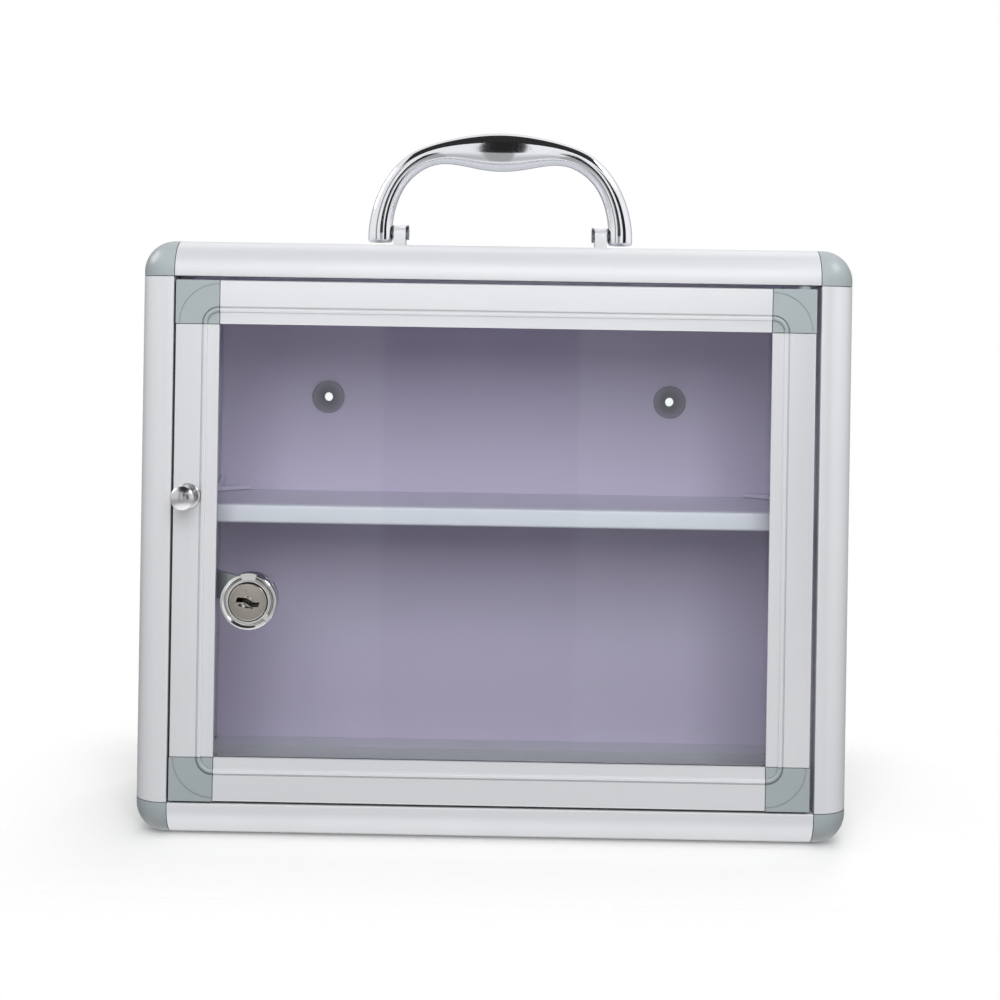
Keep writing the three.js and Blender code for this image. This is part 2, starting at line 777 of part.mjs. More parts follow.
function hingePin(corner) {
  const top = corner.z > 0;
  const reach = (top ? topGap : bottomGap) + edgeWall;
  const body = rod(pivotRadius, -reach, pivotBore, "z");
  const place = [doorWidth - pivotInset, pivotDepth, 0];
  return top ? body.mirror([0, 0, 1]).translate([place[0], place[1], doorHeight]) : body.translate(place);
}

const lockZ = lockHeight - doorBottom;

function glassPane() {
  const body = block(
    [paneInset, glassFront, paneInset],
    [doorWidth - paneInset, glassBack, doorHeight - paneInset],
  );
  const hole = rod(barrelRadius + seatGap, glassFront - cutOverrun, glassBack + cutOverrun, "y", boreSteps);
  return body.subtract(hole.translate([lockInset, 0, lockZ]));
}

// A channel of rubber round the edge of the pane.
function glassGasket() {
  const edge = glassSlotEdge + seatGap;
  const inner = edge + gasketGrip;
  const outline = rectangle(edge, edge, doorWidth - edge, doorHeight - edge);
  outline.holes.push(rectangle(inner, inner, doorWidth - inner, doorHeight - inner));
  const back = glassSlotBack - seatGap;
  const thickness = glassSlotWidth - 2 * seatGap;
  const ring = extruded(outline, thickness, [1, 0, 0], [0, 0, 1], [0, back, 0]);
  const around = paneInset - seatGap;
  const groove = block(
    [around, glassFront - seatGap, around],
    [doorWidth - around, glassBack + seatGap, doorHeight - around],
  );
  return ring.subtract(groove);
}

// Knob: a domed disc on a tapered neck, with a stud through the rosette and the front wall of the stile.
function pullKnob() {
  const front = -knobReach;
  const domeRadius = (knobRadius ** 2 + knobDome ** 2) / (2 * knobDome);
  const spread = Math.asin(knobRadius / domeRadius);
  const profile = [];
  for (let i = 0; i <= knobSteps; i += 1) {
    const angle = (spread * i) / knobSteps;
    profile.push([domeRadius * Math.sin(angle), front + domeRadius * (1 - Math.cos(angle))]);
  }
  const rimBack = front + knobDome + knobRim;
  const neckEnd = -rosetteThickness - 2 * seatGap;
  profile.push([knobRadius, rimBack], [knobNeckRadius, rimBack + knobTaper]);
  profile.push([knobNeckRadius, neckEnd], [knobStudRadius, neckEnd]);
  profile.push([knobStudRadius, leafWall + knobStudReach], [0, leafWall + knobStudReach]);
  return turned(profile, boreSteps);
}

function knobRosette() {
  const back = -seatGap;
  const front = back - rosetteThickness;
  const bore = knobStudRadius + seatGap;
  const profile = [
    [bore, front],
    [rosetteRadius - rosetteBevel, front],
    [rosetteRadius, front + rosetteBevel],
    [rosetteRadius, back],
    [bore, back],
    [bore, front],
  ];
  return turned(profile, boreSteps);
}

// Lock: y back from the front of the case, about the lock's own axis

const bezelBack = glassFront - seatGap;
const bezelFront = bezelBack - bezelRise;

function lockHousing() {
  const bore = plugRadius + seatGap;
  const profile = [
    [bore, bezelFront],
    [bezelFaceRadius, bezelFront],
    [bezelRadius, bezelFront + bezelBevel],
    [bezelRadius, bezelBack],
    [barrelRadius, bezelBack],
    [barrelRadius, lockRear],
    [bore, lockRear],
    [bore, bezelFront],
  ];
  let body = turned(profile, 2 * boreSteps);
  for (const degrees of bezelNotchDegrees) {
    const notch = block(
      [-bezelNotchWidth / 2, bezelFront - cutOverrun, bezelFaceRadius - bezelNotchDepth],
      [bezelNotchWidth / 2, bezelFront + bezelNotchDepth, bezelRadius + cutOverrun],
    );
    body = body.subtract(notch.rotate([0, degrees, 0]));
  }
  return body;
}

function lockNut() {
  const front = glassBack + seatGap;
  const hexagon = rod(nutRadius, front, front + nutThickness, "y", nutSides);
  return hexagon.subtract(rod(barrelRadius + seatGap, glassBack, front + nutThickness + cutOverrun, "y", boreSteps));
}

// The zig-zag slot that takes the key, along x.
function keyway() {
  const bends = keywayBendShares.map((share, i) => [
    share * keywayLength,
    (i % 2 ? keywayStep : -keywayStep) / 2,
  ]);
  const upper = bends.map(([x, z]) => [x, z + keywayWidth / 2]);
  const lower = bends.map(([x, z]) => [x, z - keywayWidth / 2]).reverse();
  const front = bezelFront - plugRise - cutOverrun;
  const length = keywayDepth + cutOverrun;
  return extruded(polygon([...lower, ...upper]), length, [1, 0, 0], [0, 0, 1], [0, front + length, 0]);
}

function lockPlug() {
  const front = bezelFront - plugRise;
  const spigotRadius = spigotSide * Math.SQRT1_2;
  const profile = [
    [0, front],
    [plugRadius - plugBevel, front],
    [plugRadius, front + plugBevel],
    [plugRadius, lockRear],
    [0, lockRear],
  ];
  const spigot = rod(spigotRadius, lockRear - cutOverrun, camBack, "y", squareSides);
  const tapped = rod(camScrewShankRadius + seatGap, camFront, camBack + cutOverrun, "y");
  return turned(profile, 2 * boreSteps)
    .add(spigot)
    .subtract(tapped)
    .subtract(keyway());
}

// A flat bar with round ends and a square hole on the plug's spigot.
function lockCam() {
  const round = camWidth / 2;
  const outline = new THREE.Shape();
  outline.absarc(-camReach + round, 0, round, quarterTurn, 3 * quarterTurn);
  outline.absarc(0, 0, round + camHubMargin, -quarterTurn, quarterTurn);
  const plate = extruded(outline, camThickness, [1, 0, 0], [0, 0, 1], [0, camBack, 0]);
  const holeRadius = (spigotSide + 2 * seatGap) * Math.SQRT1_2;
  return plate.subtract(rod(holeRadius, camFront - cutOverrun, camBack + cutOverrun, "y", squareSides));
}

function camScrew() {
  const seat = camBack + seatGap;
  const profile = [
    [0, seat - camScrewShank],
    [camScrewShankRadius, seat - camScrewShank],
    [camScrewShankRadius, seat],
    [camScrewRadius, seat],
    [camScrewRadius, seat + camScrewHead / 2],
    [camScrewRadius - camScrewHead / 2, seat + camScrewHead],
    [0, seat + camScrewHead],
  ];
  return turned(profile, boreSteps);
}

// Handle: x from the middle, y and z from the pivot axis

const legInner = pivotSpan / 2 - bailLegHalfWidth;
const postOuter = legInner - bracketGap;
const postInner = postOuter - postThickness;

// A point of the bail's centre line, at an angle from the left leg round to the right one.
function archPoint(angle) {
  const share = -Math.cos(angle);
  const height = Math.max(0, 1 - Math.abs(share) ** bailSquareness) ** bailShoulderShare;
  return new THREE.Vector3((share * pivotSpan) / 2, 0, bailRise * height);
}

// The half sizes of the bail's section at a place: outwards, inwards and along the depth.
function bailSizes(centre) {
  const near = Math.min(1, Math.abs(centre.x) / bailGripHalfLength);
  const swell = centre.z > bailRise / 2 ? Math.cos(near * quarterTurn) ** 2 : 0;
  const fade = Math.min(1, Math.max(0, centre.z / (bailRise * bailFadeShare)));
  const half = bailLegHalfWidth + (bailShoulderHalfWidth - bailLegHalfWidth) * fade;
  return {
    outer: half + bailGripOver * swell,
    inner: half + bailGripUnder * swell,
    depth: bailLegHalfDepth + (bailGripHalfDepth - bailLegHalfDepth) * swell,
  };
}

// The rounded end of a leg, from its tip up to the pivot line.
function legStations(side) {
  const stations = [];
  for (let i = 0; i <= bailEndSteps; i += 1) {
    const angle = (quarterTurn * i) / bailEndSteps;
    const inset = bailEndRadius * (1 - Math.sin(angle));
    const lift = bailEndRadius * (1 - Math.cos(angle));
    stations.push({
      centre: new THREE.Vector3((side * pivotSpan) / 2, 0, lift - bailTail),
      along: new THREE.Vector3(0, 0, -side),
      outer: bailLegHalfWidth - inset,
      inner: bailLegHalfWidth - inset,
      depth: bailLegHalfDepth - inset,
    });
  }
  return side < 0 ? stations : stations.reverse();
}

// Stations along the bail: centre, direction and the half sizes of its section.
function bailStations() {
  const arch = [];
  for (let i = 0; i <= bailSteps; i += 1) {
    const angle = (2 * quarterTurn * i) / bailSteps;
    const step = (2 * quarterTurn) / bailSteps;
    const along = archPoint(Math.min(2 * quarterTurn, angle + step)).sub(archPoint(Math.max(0, angle - step)));
    if (i === 0) along.set(0, 0, 1);
    if (i === bailSteps) along.set(0, 0, -1);
    const centre = archPoint(angle);
    arch.push({ centre, along: along.normalize(), ...bailSizes(centre) });
  }
  return [...legStations(-1), ...arch, ...legStations(1)];
}

// One rounded section of the bail as a ring of points.
function bailRing({ centre, along, outer, inner, depth }) {
  const across = new THREE.Vector3(along.z, 0, -along.x);
  const power = 2 / sectionPowerShare;
  const ring = [];
  for (let i = 0; i < bailSides; i += 1) {
    const angle = (4 * quarterTurn * i) / bailSides;
    const side = Math.sign(Math.cos(angle)) * Math.abs(Math.cos(angle)) ** power;
    const back = Math.sign(Math.sin(angle)) * Math.abs(Math.sin(angle)) ** power;
    const width = side > 0 ? inner : outer;
    ring.push(centre.clone().addScaledVector(across, width * side).setY(depth * back));
  }
  return ring;
}

// A closed skin through rings of equal count, with a flat fan on each end.
function lofted(rings) {
  const points = rings.flat();
  const sidesCount = rings[0].length;
  const faces = [];
  for (let row = 0; row < rings.length - 1; row += 1) {
    for (let i = 0; i < sidesCount; i += 1) {
      const next = (i + 1) % sidesCount;
      const a = row * sidesCount + i;
      const b = row * sidesCount + next;
      faces.push(a, b, a + sidesCount, b, b + sidesCount, a + sidesCount);
    }
  }
  const last = (rings.length - 1) * sidesCount;
  for (let i = 1; i < sidesCount - 1; i += 1) {
    faces.push(0, i + 1, i, last, last + i, last + i + 1);
  }
  const geometry = new THREE.BufferGeometry().setFromPoints(points);
  geometry.setIndex(faces);
  return solid(geometry);
}

function handleBail() {
  let body = lofted(bailStations().map(bailRing));
  for (const side of [-1, 1]) {
    const legX = (side * pivotSpan) / 2;
    const bore = rod(handlePinRadius + seatGap, legInner - cutOverrun, legInner + bailBore, "x");
    const hollow = rod(bailHollowRadius, -bailTail - cutOverrun, -bailTail + bailHollowDepth, "z");
    body = body.subtract(side < 0 ? bore.mirror([1, 0, 0]) : bore);
    body = body.subtract(hollow.translate([legX, 0, 0]));
  }
  return body;
}

// A bracket: a plate on the top panel with an upright ear that holds the pin.
function handleBracket(side) {
  const plateTop = bracketTop - caseHeight - pivotRise;
  const plate = roundedRectangle(
    postInner,
    -bracketHalfDepth,
    pivotSpan / 2 + bailLegHalfWidth,
    bracketHalfDepth,
    bracketCornerRadius,
  );
  const ear = new THREE.Shape();
  ear.moveTo(-postHalfDepth, plateTop - bracketPlate / 2);
  ear.lineTo(postHalfDepth, plateTop - bracketPlate / 2);
  ear.absarc(0, 0, postCrownRadius, 0, 2 * quarterTurn);
  const body = extruded(plate, bracketPlate, [1, 0, 0], [0, 1, 0], [0, 0, plateTop - bracketPlate])
    .add(extruded(ear, postThickness, [0, 1, 0], [0, 0, 1], [postInner, 0, 0]))
    .subtract(rod(handlePinRadius + seatGap, postInner - cutOverrun, postOuter + cutOverrun, "x"));
  return side < 0 ? body.mirror([1, 0, 0]) : body;
}

function handlePin(side) {
  const headTop = postInner - seatGap;
  const shank = rod(handlePinRadius, headTop - handlePinHead / 2, legInner + bailBore - seatGap, "x");
  const body = shank.add(rod(handlePinHeadRadius, headTop - handlePinHead, headTop, "x"));
  return side < 0 ? body.mirror([1, 0, 0]) : body;
}

// Assemblies

function cabinetGroup() {
  const group = new THREE.Group();
  const envelope = caseEnvelope();
  for (const side of Object.keys(sides)) {
    group.add(meshOf(`frame_front_${side}`, frontProfile(side), aluminium));
    group.add(meshOf(`frame_rear_${side}`, rearProfile(side), aluminium));
    group.add(meshOf(`panel_${side}`, sidePanel(side), lilacPanel));
  }
  for (const [name, corner] of Object.entries(corners)) {
    group.add(meshOf(`edge_strip_${name}`, edgeStrip(corner), aluminium));
    group.add(meshOf(`ball_corner_front_${name}`, ballCorner(corner, "front", envelope), cornerPlastic));
    group.add(meshOf(`ball_corner_rear_${name}`, ballCorner(corner, "rear", envelope), cornerPlastic));
  }
  group.add(meshOf("panel_back", backPanel(), lilacPanel));
  for (const [name, x] of Object.entries(eyeletPlaces())) {
    group.add(meshOf(`hanging_eyelet_${name}`, hangingEyelet(x), darkPlastic));
  }
  group.add(meshOf("shelf_board", shelfBoard(), lilacPanel));
  group.add(meshOf("shelf_trim", shelfTrim(), greyTrim));
  for (const [name, side] of Object.entries({ left: -1, right: 1 })) {
    group.add(meshOf(`shelf_ledge_${name}`, shelfLedge(side), aluminium));
    group.add(meshOf(`shelf_gusset_${name}`, shelfGusset(side), steel));
  }
  group.add(meshOf("strike_plate", strikePlate(), steel));
  group.add(meshOf("door_stop", doorStop(), cornerPlastic));
  return group;
}

function lockGroup() {
  const group = new THREE.Group();
  group.add(meshOf("lock_plug", lockPlug(), nickel));
  group.add(meshOf("lock_cam", lockCam(), steel));
  group.add(meshOf("cam_screw", camScrew(), steel));
  group.rotation.y = THREE.MathUtils.degToRad(camRestDegrees);
  return group;
}

function doorGroup() {
  const group = new THREE.Group();
  const base = leafCornerBase();
  for (const side of Object.keys(leafSides)) {
    const kind = side === "top" || side === "bottom" ? "rail" : "stile";
    group.add(meshOf(`door_${kind}_${side}`, leafProfile(side), aluminium));
  }
  for (const [name, corner] of Object.entries(corners)) {
    group.add(meshOf(`door_corner_${name}`, leafCorner(corner, base), cornerPlastic));
  }
  group.add(meshOf("hinge_pin_top", hingePin(corners.top_right), steel));
  group.add(meshOf("hinge_pin_bottom", hingePin(corners.bottom_right), steel));
  group.add(meshOf("glass_pane", glassPane(), { ...paneGlass, transparent: true, opacity: 0.35 }));
  group.add(meshOf("glass_gasket", glassGasket(), blackRubber));

  const knob = new THREE.Group();
  knob.add(meshOf("pull_knob", pullKnob(), chrome), meshOf("knob_rosette", knobRosette(), chrome));
  knob.position.set(knobInset, 0, knobHeight - doorBottom);

  const lock = new THREE.Group();
  lock.add(meshOf("lock_housing", lockHousing(), chrome), meshOf("lock_nut", lockNut(), steel));
  lock.add(lockGroup());
  lock.position.set(lockInset, 0, lockZ);

  group.add(knob, lock);
  group.position.set(doorLeft, 0, doorBottom);
  return group;
}

function handleGroup() {
  const group = new THREE.Group();
  group.add(meshOf("handle_bail", handleBail(), chrome));
  for (const [name, side] of Object.entries({ left: -1, right: 1 })) {
    group.add(meshOf(`handle_bracket_${name}`, handleBracket(side), steel));
    group.add(meshOf(`handle_pin_${name}`, handlePin(side), steel));
  }
  group.position.set(0, handleDepth, caseHeight + pivotRise);
  return group;
}

// The origin is under the middle of the whole object, knob included.
const cabinet = new THREE.Group();
cabinet.add(cabinetGroup(), doorGroup(), handleGroup());
cabinet.position.y = (knobReach - caseDepth) / 2;

const part = new THREE.Group();
part.add(cabinet);

export default part;
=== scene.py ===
"""A medication lock box: aluminium profile frame, glass door, cam lock, pull knob and a folding bail."""

import logging
import math
import random
from dataclasses import dataclass, field
from enum import Enum
from functools import cache, cached_property
from itertools import product
from typing import Callable, Optional, Sequence, Union

import bmesh
import bpy
from mathutils import Matrix, Vector

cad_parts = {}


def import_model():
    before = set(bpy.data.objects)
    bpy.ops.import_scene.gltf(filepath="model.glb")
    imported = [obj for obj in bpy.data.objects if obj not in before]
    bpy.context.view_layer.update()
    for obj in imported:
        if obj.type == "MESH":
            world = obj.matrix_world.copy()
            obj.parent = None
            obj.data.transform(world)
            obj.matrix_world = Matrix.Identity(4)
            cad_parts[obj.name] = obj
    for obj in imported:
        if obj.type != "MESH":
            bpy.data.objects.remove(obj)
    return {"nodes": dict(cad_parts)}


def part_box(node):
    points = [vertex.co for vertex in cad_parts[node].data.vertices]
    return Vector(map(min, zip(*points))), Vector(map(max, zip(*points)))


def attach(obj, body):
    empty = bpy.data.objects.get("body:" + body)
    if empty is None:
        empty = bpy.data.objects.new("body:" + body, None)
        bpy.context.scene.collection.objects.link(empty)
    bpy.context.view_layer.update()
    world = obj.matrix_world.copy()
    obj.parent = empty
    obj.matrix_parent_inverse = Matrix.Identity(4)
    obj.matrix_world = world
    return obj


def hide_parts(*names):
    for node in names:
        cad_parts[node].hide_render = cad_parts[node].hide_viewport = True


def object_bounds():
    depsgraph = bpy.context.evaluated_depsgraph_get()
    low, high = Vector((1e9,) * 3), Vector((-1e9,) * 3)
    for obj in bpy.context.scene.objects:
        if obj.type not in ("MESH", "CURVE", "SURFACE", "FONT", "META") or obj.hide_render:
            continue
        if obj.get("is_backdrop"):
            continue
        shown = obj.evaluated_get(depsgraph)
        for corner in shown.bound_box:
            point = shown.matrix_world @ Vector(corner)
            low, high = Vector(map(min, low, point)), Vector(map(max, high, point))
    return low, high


LOG = logging.getLogger("lock_box")
MM = 0.001
SEED = 41
CREASE = 32.0
BEVEL_ANGLE = 34.0
WELD = 1e-7
OCCLUSION_RAYS = 8
WHITE = (1.0, 1.0, 1.0, 1.0)

Point2 = tuple[float, float]
Point3 = tuple[float, float, float]
Colour = tuple[float, float, float, float]
Loop = list[Point2]
Placer = Callable[[float, float, float], Vector]
SocketLike = Union["Socket", float, int, tuple, Vector]


class Axis(Enum):
    """The three axes of the object's frame."""

    X = 0
    Y = 1
    Z = 2

    def others(self) -> list[int]:
        """The numbers of the two other axes."""
        return [axis.value for axis in Axis if axis is not self]


class Word(Enum):
    """A choice whose name is also a word in the names of nodes and bodies."""

    @property
    def word(self) -> str:
        """The name as nodes and bodies have it."""
        return self.name.lower()


class Side(Word):
    """Left or right of the middle, as seen from the front."""

    LEFT = -1
    RIGHT = 1


class Level(Word):
    """Bottom or top of the case."""

    BOTTOM = -1
    TOP = 1


class Depth(Word):
    """Front or rear of the case."""

    FRONT = -1
    REAR = 1


class Body(Word):
    """The bodies that pieces ride on."""

    CABINET = 0
    DOOR = 1
    LOCK = 2
    HANDLE = 3


# Shader maths


class Socket:
    """One output of a shader node, with arithmetic that adds Math nodes to the same tree."""

    def __init__(self, graph: "Graph", socket: bpy.types.NodeSocket) -> None:
        """Wraps socket, which belongs to graph."""
        self.graph = graph
        self.socket = socket

    def _math(self, operation: str, *others: SocketLike, flip: bool = False, clamp: bool = False) -> "Socket":
        """A Math node of this output and others.

        Args:
            operation: the Math node's operation.
            others: the further inputs, as outputs or numbers.
            flip: puts others ahead of this output.
            clamp: keeps the result from 0 to 1.

        Returns:
            The node's output.
        """
        values = [*others, self] if flip else [self, *others]
        return self.graph.node("ShaderNodeMath", {"operation": operation, "use_clamp": clamp}, values).out()

    def __add__(self, other: SocketLike) -> "Socket":
        """Sum."""
        return self._math("ADD", other)

    def __radd__(self, other: SocketLike) -> "Socket":
        """Sum, with this output second."""
        return self._math("ADD", other, flip=True)

    def __sub__(self, other: SocketLike) -> "Socket":
        """Difference."""
        return self._math("SUBTRACT", other)

    def __rsub__(self, other: SocketLike) -> "Socket":
        """Difference, with this output second."""
        return self._math("SUBTRACT", other, flip=True)

    def __mul__(self, other: SocketLike) -> "Socket":
        """Product."""
        return self._math("MULTIPLY", other)

    def __rmul__(self, other: SocketLike) -> "Socket":
        """Product, with this output second."""
        return self._math("MULTIPLY", other, flip=True)

    def __pow__(self, other: SocketLike) -> "Socket":
        """Power."""
        return self._math("POWER", other)

    def __rpow__(self, other: SocketLike) -> "Socket":
        """Power, with this output as the exponent."""
        return self._math("POWER", other, flip=True)

    def __abs__(self) -> "Socket":
        """Size without sign."""
        return self._math("ABSOLUTE")

    def __gt__(self, other: SocketLike) -> "Socket":
        """1 where this output is greater, otherwise 0."""
        return self._math("GREATER_THAN", other)

    def __lt__(self, other: SocketLike) -> "Socket":
        """1 where this output is less, otherwise 0."""
        return self._math("LESS_THAN", other)

    def clamped(self) -> "Socket":
        """This output kept from 0 to 1."""
        return self._math("ADD", 0.0, clamp=True)

    def sway(self, weight: float) -> "Socket":
        """This output about its middle of 0.5, times weight."""
        return (self - 0.5) * weight

    def step(self, low: float, high: float) -> "Socket":
        """A smooth step of this output.

        Args:
            low: where the step starts.
            high: where it ends.

        Returns:
            0 below low, 1 above high, smooth between them.
        """
        settings = {"interpolation_type": "SMOOTHSTEP"}
        inputs = {"Value": self, "From Min": low, "From Max": high}
        return self.graph.node("ShaderNodeMapRange", settings, inputs).out("Result")


class Node:
    """A shader node together with the graph that it belongs to."""

    def __init__(self, graph: "Graph", node: bpy.types.Node) -> None:
        """Wraps node, which belongs to graph."""
        self.graph = graph
        self.node = node

    def out(self, name: Union[str, int] = 0) -> Socket:
        """The output of that name or number."""
        return Socket(self.graph, self.node.outputs[name])


class Graph:
    """The node tree of a material or a world."""

    def __init__(self, owner: Union[bpy.types.Material, bpy.types.World]) -> None:
        """Takes over a node tree and empties it.

        Args:
            owner: the material or world whose tree it is.
        """
        owner.use_nodes = True
        self.tree = owner.node_tree
        self.tree.nodes.clear()

    def node(
        self,
        kind: str,
        settings: Optional[dict] = None,
        inputs: Union[Sequence[SocketLike], dict, None] = None,
    ) -> Node:
        """Adds a node.

        Args:
            kind: the node's type name.
            settings: its attributes, set first.
            inputs: values or outputs for its inputs, in order, or by name or number.

        Returns:
            The wrapped node.
        """
        made = self.tree.nodes.new(kind)
        for name, value in (settings or {}).items():
            setattr(made, name, value)
        pairs = inputs.items() if isinstance(inputs, dict) else enumerate(inputs or [])
        for key, value in pairs:
            if isinstance(value, Socket):
                self.tree.links.new(value.socket, made.inputs[key])
            else:
                made.inputs[key].default_value = value
        return Node(self, made)

    def place(self) -> Socket:
        """The point being shaded in the object's own coordinates, in metres."""
        return self.node("ShaderNodeTexCoord").out("Object")

    def parts(self, vector: Socket) -> tuple[Socket, Socket, Socket]:
        """The three parts of a vector output."""
        split = self.node("ShaderNodeSeparateXYZ", None, [vector])
        return split.out(0), split.out(1), split.out(2)

    def join(self, x: SocketLike, y: SocketLike, z: SocketLike) -> Socket:
        """A vector output of three parts."""
        return self.node("ShaderNodeCombineXYZ", None, [x, y, z]).out()

    def stretch(self, vector: Socket, scale: Point3) -> Socket:
        """Vector times scale, part by part."""
        return self.node("ShaderNodeVectorMath", {"operation": "MULTIPLY"}, [vector, scale]).out()

    def noise(self, vector: Socket, scale: float, detail: float = 3.0, rough: float = 0.5) -> Socket:
        """Noise from 0 to 1 of that many lumps in a metre, with detail octaves of strength rough."""
        inputs = {"Vector": vector, "Scale": scale, "Detail": detail, "Roughness": rough}
        return self.node("ShaderNodeTexNoise", None, inputs).out(0)

    def cells(self, vector: Socket, scale: float) -> Socket:
        """Distance to the nearest of scattered points, scale of them in a metre."""
        return self.node("ShaderNodeTexVoronoi", None, {"Vector": vector, "Scale": scale}).out(0)

    def openness(self, reach: float) -> Socket:
        """How much of the surroundings within reach is open, from 0 to 1."""
        settings = {"samples": OCCLUSION_RAYS}
        return self.node("ShaderNodeAmbientOcclusion", settings, {"Distance": reach}).out("AO")

    def blend(self, share: SocketLike, first: SocketLike, second: SocketLike) -> Socket:
        """The colour first with share of the colour second."""
        inputs = {0: share, 6: first, 7: second}
        return self.node("ShaderNodeMix", {"data_type": "RGBA"}, inputs).out(2)

    def bump(self, height: Socket, strength: float, reach: float) -> Socket:
        """A normal output of a height in metres times 1 / reach."""
        inputs = {"Height": height, "Strength": strength, "Distance": reach}
        return self.node("ShaderNodeBump", None, inputs).out()

    def mix(self, share: SocketLike, first: Socket, second: Socket) -> Socket:
        """The shader first with share of the shader second."""
        return self.node("ShaderNodeMixShader", None, [share, first, second]).out()

    def finish(self, shader: Socket, kind: str = "ShaderNodeOutputMaterial") -> None:
        """Links shader to a new output node."""
        self.node(kind, None, [shader])


def linear(value: float) -> float:
    """A display value of 0 to 255 as a linear value."""
    share = value / 255.0
    return share / 12.92 if share <= 0.04045 else ((share + 0.055) / 1.055) ** 2.4


def tone(red: float, green: float, blue: float) -> Colour:
    """A colour from display values of 0 to 255 as the linear values that a socket takes."""
    return linear(red), linear(green), linear(blue), 1.0


# Meshes


def arc(centre: Point2, radius: float, start: float, end: float, steps: int) -> Loop:
    """Points on an arc.

    Args:
        centre: the arc's centre.
        radius: its radius.
        start: the first point's angle in degrees.
        end: the last point's angle in degrees.
        steps: how many chords it has.

    Returns:
        The points from start to end.
    """
    angles = [math.radians(start + (end - start) * i / steps) for i in range(steps + 1)]
    return [(centre[0] + radius * math.cos(a), centre[1] + radius * math.sin(a)) for a in angles]


def circle(centre: Point2, radius: float, steps: int) -> Loop:
    """A closed ring of points about centre."""
    return arc(centre, radius, 0.0, 360.0, steps)[:-1]


def rectangle(left: float, low: float, right: float, high: float) -> Loop:
    """The corners of a rectangle."""
    return [(left, low), (right, low), (right, high), (left, high)]


def around(origin: Vector, axis: Axis, angle: float = 0.0) -> Placer:
    """Places about an axis.

    Args:
        origin: the point that places count from.
        axis: the direction of the axis.
        angle: how far the first direction across the axis is turned towards the second, in radians.

    Returns:
        What turns two lengths across the axis and one along it, in millimetres, into a place.
    """
    first, second = axis.others()
    cosine, sine = math.cos(angle), math.sin(angle)

    def place(u: float, v: float, t: float) -> Vector:
        """A point about the axis.

        Args:
            u: how far it is along the first direction across the axis.
            v: how far it is along the second.
            t: how far it is along the axis.

        Returns:
            Its place.
        """
        point = Vector(origin)
        point[first] += (u * cosine - v * sine) * MM
        point[second] += (u * sine + v * cosine) * MM
        point[axis.value] += t * MM
        return point

    return place


def smooth(data: bpy.types.Mesh, crease: float = CREASE) -> None:
    """Shades data smooth, with sharp edges beyond crease degrees."""
    data.shade_smooth()
    data.set_sharp_from_angle(angle=math.radians(crease))


def as_object(name: str, bm: bmesh.types.BMesh, crease: float = CREASE) -> bpy.types.Object:
    """Makes an object of a bmesh, smooth up to an angle.

    Args:
        name: the piece's name.
        bm: its mesh, which is used up.
        crease: the angle in degrees beyond which an edge stays sharp.

    Returns:
        The linked object.
    """
    bmesh.ops.remove_doubles(bm, verts=bm.verts, dist=WELD)
    bmesh.ops.recalc_face_normals(bm, faces=bm.faces)
    data = bpy.data.meshes.new(name)
    bm.to_mesh(data)
    bm.free()
    smooth(data, crease)
    obj = bpy.data.objects.new(name, data)
    bpy.context.scene.collection.objects.link(obj)
    return obj


def bridge(bm: bmesh.types.BMesh, first: list, second: list, closed: bool = True) -> None:
    """Joins two rings of vertices with faces.

    Args:
        bm: the mesh.
        first: one ring.
        second: the other, with as many vertices.
        closed: joins the last vertices to the first too.
    """
    count = len(first)
    for i in range(count if closed else count - 1):
        j = (i + 1) % count
        bm.faces.new((first[i], first[j], second[j], second[i]))


def sweep(
    name: str,
    loops: Sequence[Loop],
    place: Placer,
    start: float,
    end: float,
    bm: Optional[bmesh.types.BMesh] = None,
) -> Optional[bpy.types.Object]:
    """A straight bar of a section with holes.

    Args:
        name: the piece's name.
        loops: the section's outline and its holes, in millimetres.
        place: turns a section point and a length along the bar into a place.
        start: where the bar starts.
        end: where it ends.
        bm: a mesh to add the bar to, in place of making an object.

    Returns:
        The bar as an object, or None where it went into bm.
    """
    mesh = bmesh.new() if bm is None else bm
    ends = []
    for t in (start, end):
        rings, edges = [], []
        for loop in loops:
            ring = [mesh.verts.new(place(u, v, t)) for u, v in loop]
            edges += [mesh.edges.new((ring[i - 1], ring[i])) for i in range(len(ring))]
            rings.append(ring)
        bmesh.ops.triangle_fill(mesh, use_beauty=True, use_dissolve=False, edges=edges)
        ends.append(rings)
    for first, second in zip(*ends):
        bridge(mesh, first, second)
    return as_object(name, mesh) if bm is None else None


def turn(
    name: str,
    profile: Loop,
    origin: Vector,
    axis: Axis,
    steps: int = 96,
    crease: float = CREASE,
    closed: bool = False,
) -> bpy.types.Object:
    """A turned piece.

    Args:
        name: the piece's name.
        profile: points of radius and place along the axis, in millimetres.
        origin: the point of the axis that profile's places count from.
        axis: the direction of the axis.
        steps: how many sides it has.
        crease: the angle in degrees beyond which an edge stays sharp.
        closed: joins the profile's end to its start, as for a ring.

    Returns:
        The piece.
    """
    bm, place = bmesh.new(), around(origin, axis)
    rings = [
        [bm.verts.new(place(u, v, along)) for u, v in circle((0.0, 0.0), radius, steps)]
        for radius, along in profile
    ]
    for a, b in zip(rings, rings[1:] + (rings[:1] if closed else [])):
        bridge(bm, a, b)
    if not closed:
        for ring, (radius, _) in ((rings[0], profile[0]), (rings[-1], profile[-1])):
            if radius:
                bm.faces.new(ring)
    bmesh.ops.remove_doubles(bm, verts=bm.verts, dist=WELD)
    return as_object(name, bm, crease)


